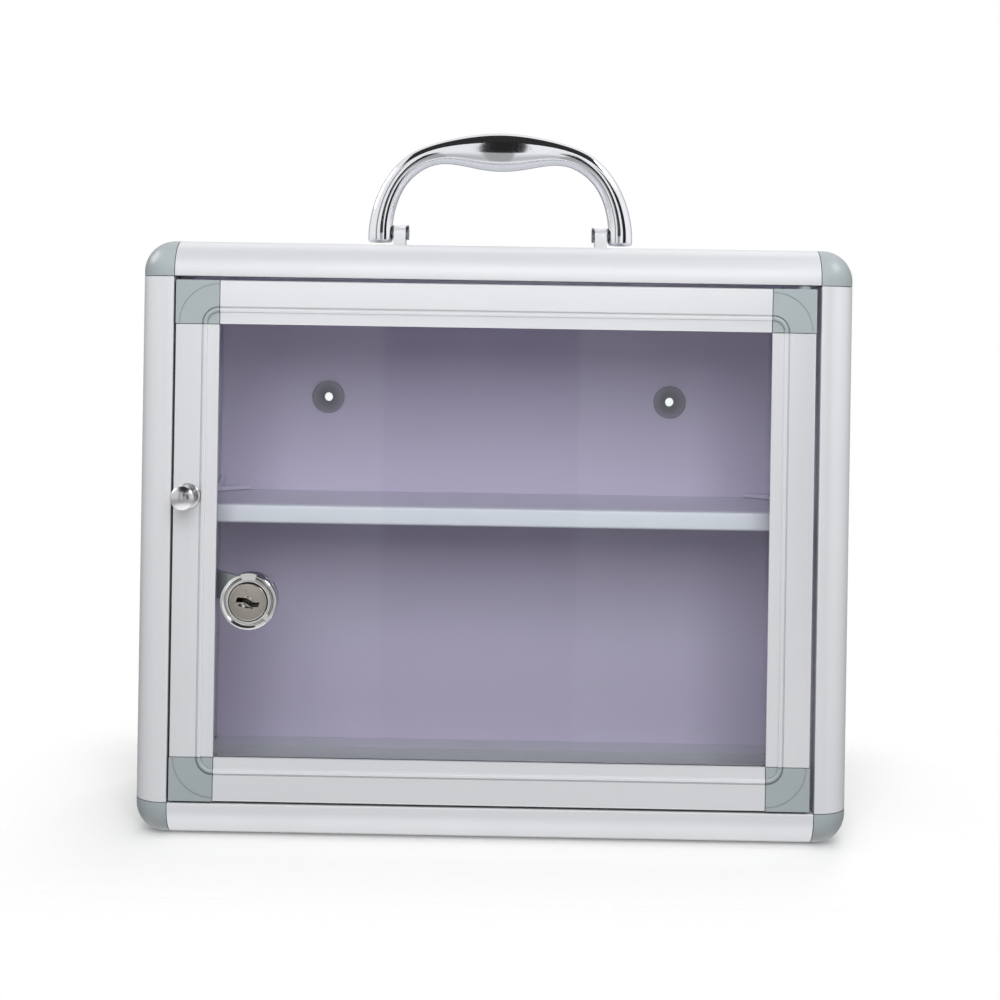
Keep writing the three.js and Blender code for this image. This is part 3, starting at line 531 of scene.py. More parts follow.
def carve(obj: bpy.types.Object, tools: Sequence[bpy.types.Object]) -> None:
    """Cuts tools out of obj.

    Args:
        obj: the piece that is kept.
        tools: closed pieces, which are used up.
    """
    for tool in tools:
        cut = obj.modifiers.new("cut", "BOOLEAN")
        cut.operation = "DIFFERENCE"
        cut.solver = "EXACT"
        cut.object = tool
    graph = bpy.context.evaluated_depsgraph_get()
    data = bpy.data.meshes.new_from_object(obj.evaluated_get(graph))
    obj.modifiers.clear()
    obj.data = data
    smooth(data)
    for tool in tools:
        bpy.data.objects.remove(tool)


def soften(obj: bpy.types.Object, width: float, segments: int = 2) -> None:
    """Rounds obj's sharp edges.

    Args:
        obj: the piece.
        width: the bevel's width in millimetres.
        segments: how many steps it has.
    """
    bevel = obj.modifiers.new("soft_edges", "BEVEL")
    bevel.width = width * MM
    bevel.segments = segments
    bevel.limit_method = "ANGLE"
    bevel.angle_limit = math.radians(BEVEL_ANGLE)
    bevel.harden_normals = True


@dataclass(frozen=True)
class CaseSpace:
    """The case's size in millimetres and where its front stands, as measured on the frame."""

    width: float
    height: float
    depth: float
    front: float

    @classmethod
    def measured(cls) -> "CaseSpace":
        """The size of the CAD nodes of the outer profiles.

        Returns:
            The measured space.
        """
        left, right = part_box("frame_front_left")[0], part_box("frame_front_right")[1]
        top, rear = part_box("frame_front_top")[1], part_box("frame_rear_top")[1]
        return cls((right.x - left.x) / MM, top.z / MM, (rear.y - left.y) / MM, left.y)

    def at(self, x: float, y: float, z: float) -> Vector:
        """The place x from the middle, y behind the front face and z above the base, in millimetres."""
        return Vector((x * MM, self.front + y * MM, z * MM))

    def inwards(self, side: Side, across: float) -> float:
        """The x that is across inwards from an outer side face."""
        return side.value * (self.width / 2 - across)

    def raised(self, level: Level, up: float) -> float:
        """The z that is up inwards from the base or the top face."""
        return up if level is Level.BOTTOM else self.height - up

    def back(self, depth: Depth, along: float) -> float:
        """The y that is along inwards from the front or the rear face."""
        return along if depth is Depth.FRONT else self.depth - along


# Finishes


@dataclass(frozen=True)
class Finish:
    """A procedural finish. Its colours are linear, and its scales are lumps in a metre."""

    name: str
    slot: str
    colour: Colour
    shade: Colour

    def inputs(self, graph: Graph) -> dict:
        """The Principled inputs of this finish, built in graph."""
        raise NotImplementedError

    def grime(self, share: float) -> Colour:
        """The shade at that share of its light: the colour of painted shade in crevices."""
        return tuple(part * share for part in self.shade[:3]) + (1.0,)

    def shader(self, graph: Graph) -> Socket:
        """The finish's shader, built in graph."""
        return graph.node("ShaderNodeBsdfPrincipled", None, self.inputs(graph)).out()

    def material(self) -> bpy.types.Material:
        """The finish as a new material.

        Returns:
            The material, with its colour for plain views too.
        """
        made = bpy.data.materials.new(self.name)
        graph = Graph(made)
        graph.finish(self.shader(graph))
        made.diffuse_color = self.colour
        return made


@dataclass(frozen=True)
class Anodised(Finish):
    """Satin anodised aluminium with fine die lines along one axis."""

    grain: Axis = Axis.X
    rough: float = 0.42
    metal: float = 0.42
    crevice: float = 0.004
    line_scale: float = 2600.0
    along_scale: float = 1.5
    cloud_scale: float = 22.0
    grain_scale: float = 5200.0
    specular: float = 0.3
    relief: float = 0.02
    reach: float = 0.0002

    def inputs(self, graph: Graph) -> dict:
        """Die lines, cloudy etching and a fine grain, in colour, gloss and relief, with painted shade in
        crevices.

        Args:
            graph: where the nodes go.

        Returns:
            The Principled inputs.
        """
        place = graph.place()
        # Painted shade: ambient occlusion darkens the colour in crevices and joints.
        open_share = graph.openness(self.crevice).step(0.0, 0.42) * 0.85 + 0.15
        lengthwise = tuple(self.along_scale if axis is self.grain else self.line_scale for axis in Axis)
        lines = graph.noise(graph.stretch(place, lengthwise), 1.0, 2.0)
        cloud = graph.noise(place, self.cloud_scale, 4.0, 0.6)
        grain = graph.noise(place, self.grain_scale, 1.0)
        worn = cloud.sway(0.4) + lines.sway(0.22) + grain.sway(0.2) + 0.35
        etched = graph.blend(worn.clamped(), self.colour, self.shade)
        colour = graph.blend(open_share, self.grime(0.2), etched)
        gloss = cloud.sway(0.1) + lines.sway(0.05) + self.rough
        relief = lines * 0.5 + grain * 0.5
        return {
            "Base Color": colour,
            "Metallic": self.metal,
            "Roughness": gloss.clamped(),
            "Specular IOR Level": self.specular,
            "Normal": graph.bump(relief, self.relief, self.reach),
        }


@dataclass(frozen=True)
class Moulded(Finish):
    """Moulded plastic with a fine spark-eroded grain."""

    rough: float = 0.42
    relief: float = 0.12
    crevice: float = 0.0009
    cloud_scale: float = 60.0
    grain_scale: float = 2600.0
    rub_scale: float = 140.0
    specular: float = 0.45
    reach: float = 0.0002

    def inputs(self, graph: Graph) -> dict:
        """Mottling, grain, faint rubbed spots and painted shade in crevices.

        Args:
            graph: where the nodes go.

        Returns:
            The Principled inputs.
        """
        place = graph.place()
        # Painted shade: ambient occlusion darkens the colour in crevices and joints.
        open_share = graph.openness(self.crevice).step(0.35, 0.95)
        cloud = graph.noise(place, self.cloud_scale, 3.0, 0.6)
        grain = graph.noise(place, self.grain_scale, 2.0, 0.6)
        rubbed = graph.noise(place, self.rub_scale, 5.0, 0.7).step(0.6, 0.75)
        share = (cloud * 0.6 + grain * 0.3 + rubbed * 0.1).clamped()
        gloss = self.rough + grain.sway(0.14) - rubbed * 0.06
        moulded = graph.blend(share, self.colour, self.shade)
        return {
            "Base Color": graph.blend(open_share, self.grime(0.68), moulded),
            "Roughness": gloss.clamped(),
            "Specular IOR Level": self.specular,
            "Normal": graph.bump(grain, self.relief, self.reach),
        }


@dataclass(frozen=True)
class Bushing(Finish):
    """Soft grey plastic that pales towards the rim of the two eyelets."""

    across: float = 0.083
    height: float = 0.181
    inner: float = 0.0035
    outer: float = 0.0085
    grain_scale: float = 2600.0
    cloud_scale: float = 220.0
    rough: float = 0.45
    specular: float = 0.4
    relief: float = 0.1
    reach: float = 0.0002

    def inputs(self, graph: Graph) -> dict:
        """Turned rings and a pale rim in colour, a fine grain in gloss and relief.

        Args:
            graph: where the nodes go.

        Returns:
            The Principled inputs.
        """
        place = graph.place()
        x, _, z = graph.parts(place)
        off, up = abs(x) - self.across, z - self.height
        distance = (off * off + up * up) ** 0.5
        rim = distance.step(self.inner, self.outer)
        grain = graph.noise(place, self.grain_scale, 2.0, 0.6)
        cloud = graph.noise(place, self.cloud_scale, 4.0, 0.6)
        rings = graph.noise(graph.join(distance * self.grain_scale, 0.0, 0.0), 1.0, 2.0)
        share = rim * 0.75 + cloud.sway(0.25) + rings.sway(0.2)
        return {
            "Base Color": graph.blend(share.clamped(), self.colour, self.shade),
            "Roughness": (grain.sway(0.14) + self.rough).clamped(),
            "Specular IOR Level": self.specular,
            "Normal": graph.bump(rings * 0.5 + grain * 0.5, self.relief, self.reach),
        }


@dataclass(frozen=True)
class Laminate(Finish):
    """Painted board with a pearl-like speckle and a few pale scuffs, plainer where it faces outwards."""

    scuffs: float = 0.0
    rough: float = 0.38
    scuff: Colour = (0.6, 0.6, 0.65, 1.0)
    outside: Colour = (0.7, 0.71, 0.74, 1.0)
    edges: tuple[float, float, float, float] = (0.1468, 0.0582, 0.0032, 0.2468)
    cloud_scale: float = 9.0
    speckle_scale: float = 1500.0
    peel_scale: float = 420.0
    scuff_scale: Point3 = (34.0, 34.0, 150.0)
    scuff_height: Point2 = (0.03, 0.11)
    specular: float = 0.4
    coat: float = 0.06
    relief: float = 0.06
    reach: float = 0.0004

    def inputs(self, graph: Graph) -> dict:
        """Cloudy tone, speckle, orange-peel relief and scuffs near the bottom.

        Args:
            graph: where the nodes go.

        Returns:
            The Principled inputs.
        """
        place = graph.place()
        cloud = graph.noise(place, self.cloud_scale)
        speckle = graph.cells(place, self.speckle_scale).step(0.1, 0.5)
        peel = graph.noise(place, self.peel_scale, 2.0)
        share = (cloud * 0.7 + speckle * 0.18).clamped()
        across, away, height = graph.parts(place)
        side, rear, low, high = self.edges
        outer = (abs(across) > side) + (away > rear) + (height < low) + (height > high)
        inner = graph.blend(share, self.colour, self.shade)
        colour = graph.blend(outer.clamped(), inner, self.outside)
        drawn = graph.noise(graph.stretch(place, self.scuff_scale), 1.0, 5.0, 0.65)
        lower = 1.0 - height.step(*self.scuff_height)
        marks = drawn.step(0.66, 0.74) * lower * self.scuffs
        gloss = self.rough + cloud.sway(0.1) + speckle * 0.03 + marks * 0.2
        return {
            "Base Color": graph.blend(marks.clamped(), colour, self.scuff),
            "Roughness": gloss.clamped(),
            "Specular IOR Level": self.specular,
            "Coat Weight": self.coat,
            "Normal": graph.bump(peel, self.relief, self.reach),
        }


@dataclass(frozen=True)
class Plated(Finish):
    """Bright or satin metal plating with hairline marks and a faint haze."""

    rough: float = 0.08
    hair: float = 0.04
    relief: float = 0.0
    crevice: float = 0.0
    haze_scale: float = 48.0
    hair_scale: Point3 = (320.0, 2600.0, 700.0)
    reach: float = 0.0001

    def inputs(self, graph: Graph) -> dict:
        """Haze and hairlines in gloss, a trace of both in colour, and painted shade in crevices where asked.

        Args:
            graph: where the nodes go.

        Returns:
            The Principled inputs.
        """
        place = graph.place()
        haze = graph.noise(place, self.haze_scale, 4.0, 0.6)
        lines = graph.noise(graph.stretch(place, self.hair_scale), 1.0)
        hairs = lines.step(0.58, 0.7)
        share = (haze * 0.5 + hairs * 0.2).clamped()
        gloss = self.rough + (haze - 0.4) * self.rough + hairs * self.hair
        colour = graph.blend(share, self.colour, self.shade)
        # Painted shade: ambient occlusion darkens the colour in crevices, such as the keyway.
        if self.crevice:
            open_share = graph.openness(self.crevice).step(0.45, 0.95)
            colour = graph.blend(open_share, self.grime(0.06), colour)
        return {
            "Base Color": colour,
            "Metallic": 1.0,
            "Roughness": gloss.clamped(),
            "Normal": graph.bump(lines, self.relief, self.reach),
        }


@dataclass(frozen=True)
class Rubber(Finish):
    """Extruded rubber with a dusty bloom."""

    rough: float = 0.62
    bloom_scale: float = 90.0
    pit_scale: float = 2400.0
    specular: float = 0.3
    relief: float = 0.15
    reach: float = 0.0003

    def inputs(self, graph: Graph) -> dict:
        """Bloom in colour and gloss, fine pitting in relief.

        Args:
            graph: where the nodes go.

        Returns:
            The Principled inputs.
        """
        place = graph.place()
        bloom = graph.noise(place, self.bloom_scale, 5.0, 0.7)
        pits = graph.cells(place, self.pit_scale)
        gloss = self.rough + bloom.sway(0.25)
        return {
            "Base Color": graph.blend(bloom.step(0.4, 0.8), self.colour, self.shade),
            "Roughness": gloss.clamped(),
            "Specular IOR Level": self.specular,
            "Normal": graph.bump(pits, self.relief, self.reach),
        }


@dataclass(frozen=True)
class Pane(Finish):
    """Clear float glass: what lies behind it shows, with a mirror share by angle and a film of dust."""

    dust: float = 0.012
    mirror: float = 0.6
    index: float = 1.5
    rough: float = 0.02
    streak_scale: Point3 = (55.0, 20.0, 9.0)
    speck_scale: float = 260.0
    wave_scale: Point3 = (7.0, 7.0, 3.0)
    relief: float = 0.02
    reach: float = 0.001

    def shader(self, graph: Graph) -> Socket:
        """Glass as a mix of clear and glossy parts.

        Args:
            graph: where the nodes go.

        Returns:
            The glass's shader.
        """
        place = graph.place()
        streaks = graph.noise(graph.stretch(place, self.streak_scale), 1.0, 4.0, 0.6)
        specks = graph.cells(place, self.speck_scale)
        haze = streaks.step(0.45, 0.8) * 0.6 + (1.0 - specks.step(0.02, 0.06)) * 0.5
        wave = graph.noise(graph.stretch(place, self.wave_scale), 1.0, 1.0)
        clear = graph.node("ShaderNodeBsdfTransparent", None, [self.colour]).out()
        waved = graph.bump(wave, self.relief, self.reach)
        gloss = {"Color": WHITE, "Roughness": self.rough, "Normal": waved}
        glossy = graph.node("ShaderNodeBsdfGlossy", None, gloss).out()
        share = graph.node("ShaderNodeFresnel", None, {"IOR": self.index}).out()
        pair = graph.mix(share * self.mirror, clear, glossy)
        film = graph.node("ShaderNodeBsdfDiffuse", None, {"Color": self.shade}).out()
        return graph.mix(haze * self.dust, pair, film)


METAL = tone(233, 234, 237), tone(211, 213, 217)
BOARD = tone(222, 213, 234), tone(208, 198, 222)
# The floor panel's laminate is a darker copy of the board's: painted shade for the case's floor.
BASE = tone(172, 164, 182), tone(158, 150, 169)
REAR = tone(219, 207, 232), tone(206, 194, 219)
SHELF = tone(226, 219, 236), tone(214, 206, 226)
FOIL = tone(243, 242, 250), tone(232, 232, 243)
CORNER = tone(167, 176, 179), tone(153, 162, 165)
EYELET = tone(120, 117, 126), tone(164, 158, 173)
# Colours of the dark discs in the bail's hollow leg ends: painted shade in the hollows.
HOLLOW_SHADE = tone(70, 70, 74), tone(52, 52, 56)
GASKET = tone(96, 98, 104), tone(120, 122, 128)
PAD = tone(206, 208, 212), tone(190, 192, 196)
CHROME = tone(238, 239, 243), tone(226, 228, 234)
NICKEL = tone(224, 224, 224), tone(206, 206, 206)
PLUG = tone(188, 183, 175), tone(160, 155, 147)
ZINC = tone(200, 202, 206), tone(176, 178, 184)
KNOB = tone(206, 205, 207), tone(188, 186, 189)
BRACKET = tone(232, 233, 236), tone(200, 202, 206)
SCREW = tone(150, 151, 156), tone(120, 121, 126)
GLASS = tone(250, 252, 252), tone(238, 240, 244)


class Coat(Enum):
    """Every finish of the box."""

    RAILS = Anodised("anodised_rails", "aluminium", *METAL, Axis.X)
    POSTS = Anodised("anodised_posts", "aluminium", *METAL, Axis.Z)
    STRIPS = Anodised("anodised_strips", "aluminium", *METAL, Axis.Y)
    DOOR_RAILS = Anodised("anodised_door_rails", "aluminium", *METAL, Axis.X, rough=0.36)
    DOOR_STILES = Anodised("anodised_door_stiles", "aluminium", *METAL, Axis.Z, rough=0.36)
    CORNERS = Moulded("corner_plastic", "corner_plastic", *CORNER, rough=0.3, relief=0.08)
    PANELS = Laminate("laminate_panels", "laminate", *BOARD)
    # The board laminate made darker for the floor panel: painted shade.
    BASE = Laminate("laminate_base", "laminate", *BASE)
    BACK = Laminate("laminate_back", "laminate", *REAR, scuffs=0.5)
    SHELF = Laminate("laminate_shelf", "laminate", *SHELF, rough=0.3)
    FOIL = Moulded("shelf_foil", "shelf_trim", *FOIL, rough=0.32, relief=0.05)
    EYELETS = Bushing("eyelet_plastic", "dark_plastic", *EYELET)
    # Dark discs of painted shade that fill the bail's hollow leg ends.
    LEG_ENDS = Moulded("leg_socket", "chrome", *HOLLOW_SHADE, rough=0.5)
    GASKET = Rubber("glazing_rubber", "rubber", *GASKET)
    PAD = Rubber("stop_rubber", "rubber", *PAD)
    CHROME = Plated("bail_chrome", "chrome", *CHROME, rough=0.07, hair=0.03)
    NICKEL = Plated("lock_nickel", "nickel", *NICKEL, rough=0.1, hair=0.05, relief=0.05)
    PLUG = Plated("plug_nickel", "nickel", *PLUG, rough=0.2, hair=0.1, relief=0.1, crevice=0.002)
    ZINC = Plated("zinc_steel", "steel", *ZINC, rough=0.28, hair=0.08, relief=0.1)
    KNOB = Plated("knob_nickel", "nickel", *KNOB, rough=0.23, hair=0.06, relief=0.05)
    BRACKETS = Anodised("bracket_steel", "steel", *BRACKET, Axis.Z, rough=0.3)
    SCREWS = Plated("screw_steel", "steel", *SCREW, rough=0.3, hair=0.08, relief=0.1)
    GLASS = Pane("float_glass", "glass", *GLASS)

    @cache
    def material(self) -> bpy.types.Material:
        """The finish's material, made once."""
        return self.value.material()


def finish(obj: bpy.types.Object, coat: Coat, slot: str = "") -> None:
    """Gives a piece or a kept node its finish.

    Args:
        obj: the piece.
        coat: its finish.
        slot: the record's material slot, where it isn't the finish's own; it is not used.
    """
    obj.data.materials.clear()
    obj.data.materials.append(coat.material())
    slot or coat.value.slot


def dress(obj: bpy.types.Object, coat: Coat, body: Body, nodes: Sequence[str] = ()) -> None:
    """Gives a piece its finish and its place in the mechanism.

    Args:
        obj: the piece, in place.
        coat: its finish.
        body: the body that it rides on.
        nodes: the CAD nodes that it stands for.
    """
    finish(obj, coat)
    if nodes:
        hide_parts(*nodes)
    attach(obj, body.word)


def keep(node: bpy.types.Object, coat: Coat, edge: float = 0.0, slot: str = "") -> None:
    """Keeps a CAD node's shape, with a finish and rounded edges.

    Args:
        node: the CAD node's object.
        coat: its finish.
        edge: the bevel's width in millimetres, or 0 for none.
        slot: the record's material slot, where it isn't the finish's own.
    """
    finish(node, coat, slot)
    if edge:
        soften(node, edge)


def profile_bar(
    node: str,
    loops: Sequence[Loop],
    place: Placer,
    ends: Point2,
    edge: float,
    coat: Coat,
    body: Body,
) -> None:
    """A straight length of an extruded profile that stands for a CAD node.

    Args:
        node: the CAD node.
        loops: the section's outline and its chamber.
        place: turns a section point and a length along the bar into a place.
        ends: where the bar starts and ends.
        edge: the bevel's width in millimetres.
        coat: its finish.
        body: the body that it rides on.
    """
    bar = sweep(f"profile_{node}", loops, place, *ends)
    soften(bar, edge)
    dress(bar, coat, body, [node])


def axis_point(node: str, y: float) -> Vector:
    """The point at depth y on the front-to-back axis through the middle of a CAD node."""
    low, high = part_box(node)
    return Vector(((low.x + high.x) / 2, y, (low.z + high.z) / 2))


# The cabinet


@dataclass
class CaseProfiles:
    """The extruded frame: four front, four rear and four front-to-back profiles, quarter-round outside."""

    space: CaseSpace
    radius: float = 13.0
    face: float = 15.0
    wall: float = 1.6
    lip: float = 1.4
    slot_inner: float = 5.0
    fillet: float = 0.6
    front_depth: float = 24.0
    rear_depth: float = 27.0
    slot_depth: float = 8.0
    strip_slot: float = 4.5
    back_slot: Point2 = (7.7, 11.3)
    back_slot_depth: float = 5.0
    gap: float = 0.3
    edge: float = 0.2
    chords: int = 26
    fillet_chords: int = 5

    def _round(self, radius: float) -> Loop:
        """The quarter-round about the profile's own centre."""
        return arc((self.radius, self.radius), radius, 180.0, 270.0, self.chords)

    def _tail(self, depth: float) -> Loop:
        """The rear of a section, with the slot that holds a side panel."""
        inner, lip, floor = self.slot_inner, self.lip, depth - self.slot_depth
        return [(inner, depth), (inner, floor), (lip, floor), (lip, depth), (0.0, depth)]

    def front_section(self) -> list[Loop]:
        """The front profile's section.

        Returns:
            Its outline and chamber.
        """
        face, wall, reach = self.face, self.wall, self.front_depth
        fillet = arc((face - self.fillet, self.fillet), self.fillet, 270.0, 360.0, self.fillet_chords)
        outline = self._round(self.radius) + fillet + [(face, reach)] + self._tail(reach)
        step = reach - self.slot_depth - wall
        inner, far = face - wall, self.slot_inner + wall
        chamber = self._round(self.radius - wall)
        chamber += [(inner, wall), (inner, reach - wall), (far, reach - wall), (far, step), (wall, step)]
        return [outline, chamber]

    def rear_section(self) -> list[Loop]:
        """The rear profile's section, with the back panel's slot.

        Returns:
            Its outline and chamber.
        """
        face, wall, reach = self.face, self.wall, self.rear_depth
        low, high = self.back_slot
        floor = face - self.back_slot_depth
        outline = self._round(self.radius) + [(face, 0.0), (face, low), (floor, low), (floor, high)]
        outline += [(face, high), (face, reach)] + self._tail(reach)
        near, deep = self.slot_inner, reach - self.slot_depth - wall
        return [outline, rectangle(near, near, floor - wall, deep)]

    def strip_section(self) -> list[Loop]:
        """The front-to-back profile's section, with a slot for each of two panels.

        Returns:
            Its outline and square bore.
        """
        face, lip, inner, wall = self.face, self.lip, self.slot_inner, self.wall
        slot = face - self.strip_slot
        outline = self._round(self.radius)
        outline += [(face, 0.0), (face, lip), (slot, lip), (slot, inner), (face, inner), (face, face)]
        outline += [(inner, face), (inner, slot), (lip, slot), (lip, face), (0.0, face)]
        near, far = inner + wall, face - wall
        return [outline, rectangle(near, near, far, far)]

    def _bar(self, node: str, loops: list[Loop], place: Placer, ends: Point2, coat: Coat) -> None:
        """One profile of the cabinet in place of its CAD node."""
        profile_bar(node, loops, place, ends, self.edge, coat, Body.CABINET)

    def build(self) -> int:
        """Builds all the profiles.

        Returns:
            How many pieces were made.
        """
        space, margin = self.space, self.face + self.gap
        half = space.width / 2 - margin
        for depth, loops in zip(Depth, (self.front_section(), self.rear_section())):
            for level in Level:
                self._bar(
                    f"frame_{depth.word}_{level.word}", loops,
                    lambda u, v, t: space.at(t, space.back(depth, v), space.raised(level, u)),
                    (-half, half), Coat.RAILS,
                )
            for side in Side:
                self._bar(
                    f"frame_{depth.word}_{side.word}", loops,
                    lambda u, v, t: space.at(space.inwards(side, u), space.back(depth, v), t),
                    (margin, space.height - margin), Coat.POSTS,
                )
        for level, side in product(Level, Side):
            self._bar(
                f"edge_strip_{level.word}_{side.word}", self.strip_section(),
                lambda u, v, t: space.at(space.inwards(side, u), t, space.raised(level, v)),
                (margin, space.depth - margin), Coat.STRIPS,
            )
        return len(Depth) * (len(Level) + len(Side)) + len(Level) * len(Side)


@dataclass
class BallCorners:
    """The eight plastic corners, each a rounded cube with three tongues."""

    space: CaseSpace
    radius: float = 13.0
    side: float = 15.0
    steps: int = 18
    tongue_near: float = 5.4
    tongue_wide: float = 13.1
    tongue_slim: float = 8.1
    tongue_deep: float = 14.1
    tongue_reach: float = 29.0
    inward_near: float = 6.9
    edge: float = 0.3
    edge_steps: int = 3

    def _skin(self, point: list[float]) -> tuple[float, ...]:
        """A point of the cube, drawn in to the rounded skin.

        Args:
            point: where it is on the cube.

        Returns:
            Where it is on the skin.
        """
        anchor = [max(value, self.radius) for value in point]
        offset = Vector([value - base for value, base in zip(point, anchor)])
        if offset.length <= self.radius:
            return tuple(point)
        offset = offset.normalized() * self.radius
        return tuple(base + value for base, value in zip(anchor, offset))

    def _cube(self, bm: bmesh.types.BMesh, place: Placer) -> None:
        """Adds the rounded cube.

        Args:
            bm: the mesh.
            place: turns a point counted inwards from the corner into a place.
        """
        share = [math.tan(math.pi / 4 * (1 - i / self.steps)) for i in range(self.steps + 1)]
        values = [self.radius * (1 - value) for value in share] + [self.side]
        for axis, level in product(range(3), (0.0, self.side)):
            rows = []
            for a in values:
                row = []
                for b in values:
                    point = [0.0, 0.0, 0.0]
                    point[axis], point[(axis + 1) % 3], point[(axis + 2) % 3] = level, a, b
                    row.append(bm.verts.new(place(*self._skin(point))))
                rows.append(row)
            for first, second in zip(rows, rows[1:]):
                bridge(bm, first, second, closed=False)

    def _tongues(self, bm: bmesh.types.BMesh, place: Placer, depth: Depth) -> None:
        """Adds the three tongues.

        Args:
            bm: the mesh.
            place: turns a point counted inwards from the corner into a place.
            depth: front or rear, which have profiles of their own.
        """
        wide = self.tongue_wide if depth is Depth.FRONT else self.tongue_slim
        flat = rectangle(self.tongue_near, self.tongue_near, self.tongue_deep, wide)
        square = rectangle(self.inward_near, self.inward_near, self.tongue_wide, self.tongue_wide)
        ends = self.side, self.tongue_reach
        sweep("tongue", [flat], lambda u, v, t: place(t, u, v), *ends, bm)
        sweep("tongue", [flat], lambda u, v, t: place(v, u, t), *ends, bm)
        sweep("tongue", [square], lambda u, v, t: place(u, t, v), *ends, bm)

    def _corner(self, depth: Depth, level: Level, side: Side) -> None:
        """Builds one corner.

        Args:
            depth: front or rear.
            level: bottom or top.
            side: left or right.
        """
        space, bm = self.space, bmesh.new()

        def place(x: float, y: float, z: float) -> Vector:
            """A point counted inwards from the corner's three outer faces."""
            return space.at(space.inwards(side, x), space.back(depth, y), space.raised(level, z))

        self._cube(bm, place)
        self._tongues(bm, place, depth)
        node = f"ball_corner_{depth.word}_{level.word}_{side.word}"
        corner = as_object(f"moulded_{node}", bm)
        soften(corner, self.edge, self.edge_steps)
        dress(corner, Coat.CORNERS, Body.CABINET, [node])

    def build(self) -> int:
        """Builds the corners.

        Returns:
            How many there are.
        """
        places = list(product(Depth, Level, Side))
        for depth, level, side in places:
            self._corner(depth, level, side)
        return len(places)


@dataclass
class Fittings:
    """Panels, eyelets, shelf and small parts inside the case."""

    space: CaseSpace
    nodes: dict
    panel_edge: float = 0.15
    shelf_edge: float = 0.3
    ledge_edge: float = 0.2
    plate_edge: float = 0.25
    pad_edge: float = 0.5
    shelf_front: float = 28.0
    trim_rear: float = 35.0
    trim_low: float = 128.9
    trim_high: float = 136.7
    trim_wall: float = 1.1
    trim_round: float = 1.2
    trim_edge: float = 0.15
    eyelet_flange: float = 7.8
    eyelet_seat: float = 1.2
    eyelet_round: float = 0.6
    eyelet_sleeve: float = 3.5
    eyelet_bore: float = 2.1
    eyelet_mouth: float = 1.4
    flange_steps: int = 5
    mouth_steps: int = 7
    trim_steps: int = 6

    def _eyelet(self, side: Side) -> None:
        """Builds one of the two eyelets that line the hanging holes.

        Args:
            side: left or right.
        """
        node = f"hanging_eyelet_{side.word}"
        low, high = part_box(node)
        flange, sleeve, bore = self.eyelet_flange, self.eyelet_sleeve, self.eyelet_bore
        rear, seat, bend = (high.y - low.y) / MM, self.eyelet_seat, self.eyelet_round
        mouth = bore + self.eyelet_mouth
        profile = [(bore, rear), (sleeve, rear), (sleeve, seat), (flange, seat), (flange, bend)]
        profile += arc((flange - bend, bend), bend, 0.0, -90.0, self.flange_steps)
        profile.append((mouth, 0.0))
        profile += arc((mouth, self.eyelet_mouth), self.eyelet_mouth, -90.0, -180.0, self.mouth_steps)
        ring = turn(f"turned_{node}", profile, axis_point(node, low.y), Axis.Y, closed=True)
        dress(ring, Coat.EYELETS, Body.CABINET, [node])

    def _trim(self) -> None:
        """Builds the shelf's front trim, a rounded channel."""
        low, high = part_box("shelf_trim")
        near, far = self.shelf_front, self.trim_rear
        bottom, top, wall, bend = self.trim_low, self.trim_high, self.trim_wall, self.trim_round
        outline = [(far, bottom), (far, bottom + wall), (near + wall, bottom + wall)]
        outline += [(near + wall, top - wall), (far, top - wall), (far, top)]
        outline += arc((near + bend, top - bend), bend, 90.0, 180.0, self.trim_steps)
        outline += arc((near + bend, bottom + bend), bend, 180.0, 270.0, self.trim_steps)
        ends = low.x / MM, high.x / MM
        trim = sweep("folded_shelf_trim", [outline], lambda u, v, t: self.space.at(t, u, v), *ends)
        soften(trim, self.trim_edge)
        dress(trim, Coat.FOIL, Body.CABINET, ["shelf_trim"])

    def build(self) -> int:
        """Builds the eyelets and the trim, and finishes the nodes that are kept.

        Returns:
            How many pieces there are.
        """
        kept = [(f"panel_{place}", Coat.PANELS, self.panel_edge, "") for place in ("top", "left", "right")]
        kept += [
            # The floor panel gets the darker laminate, painted shade.
            ("panel_bottom", Coat.BASE, self.panel_edge, ""),
            ("panel_back", Coat.BACK, 0.0, ""),
            ("shelf_board", Coat.SHELF, self.shelf_edge, ""),
            ("strike_plate", Coat.ZINC, self.plate_edge, ""),
            ("door_stop", Coat.PAD, self.pad_edge, ""),
        ]
        for side in Side:
            kept.append((f"shelf_ledge_{side.word}", Coat.STRIPS, self.ledge_edge, ""))
            kept.append((f"shelf_gusset_{side.word}", Coat.SHELF, self.plate_edge, "aluminium"))
            self._eyelet(side)
        for name, *finishing in kept:
            keep(self.nodes[name], *finishing)
        self._trim()
        return len(kept) + len(Side) + 1


# The door


@dataclass(frozen=True)
class LeafSpace:
    """The door leaf's outline in millimetres, within the case."""

    space: CaseSpace
    left: float
    right: float
    bottom: float
    top: float

    @classmethod
    def measured(cls, space: CaseSpace) -> "LeafSpace":
        """The outline of the left corners and the right stile of the CAD leaf.

        Args:
            space: the case.

        Returns:
            The measured outline.
        """
        low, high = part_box("door_corner_bottom_left")[0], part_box("door_corner_top_left")[1]
        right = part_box("door_stile_right")[1]
        return cls(space, low.x / MM, right.x / MM, low.z / MM, high.z / MM)

    def at(self, side: Side, across: float, y: float, level: Level, up: float) -> Vector:
        """A place in the leaf.

        Args:
            side: the side edge that across counts from.
            across: how far inwards it is from that edge.
            y: how far it is behind the case's front.
            level: the bottom or top edge that up counts from.
            up: how far inwards it is from that edge.

        Returns:
            The place in metres.
        """
        x = self.left + across if side is Side.LEFT else self.right - across
        z = self.bottom + up if level is Level.BOTTOM else self.top - up
        return self.space.at(x, y, z)


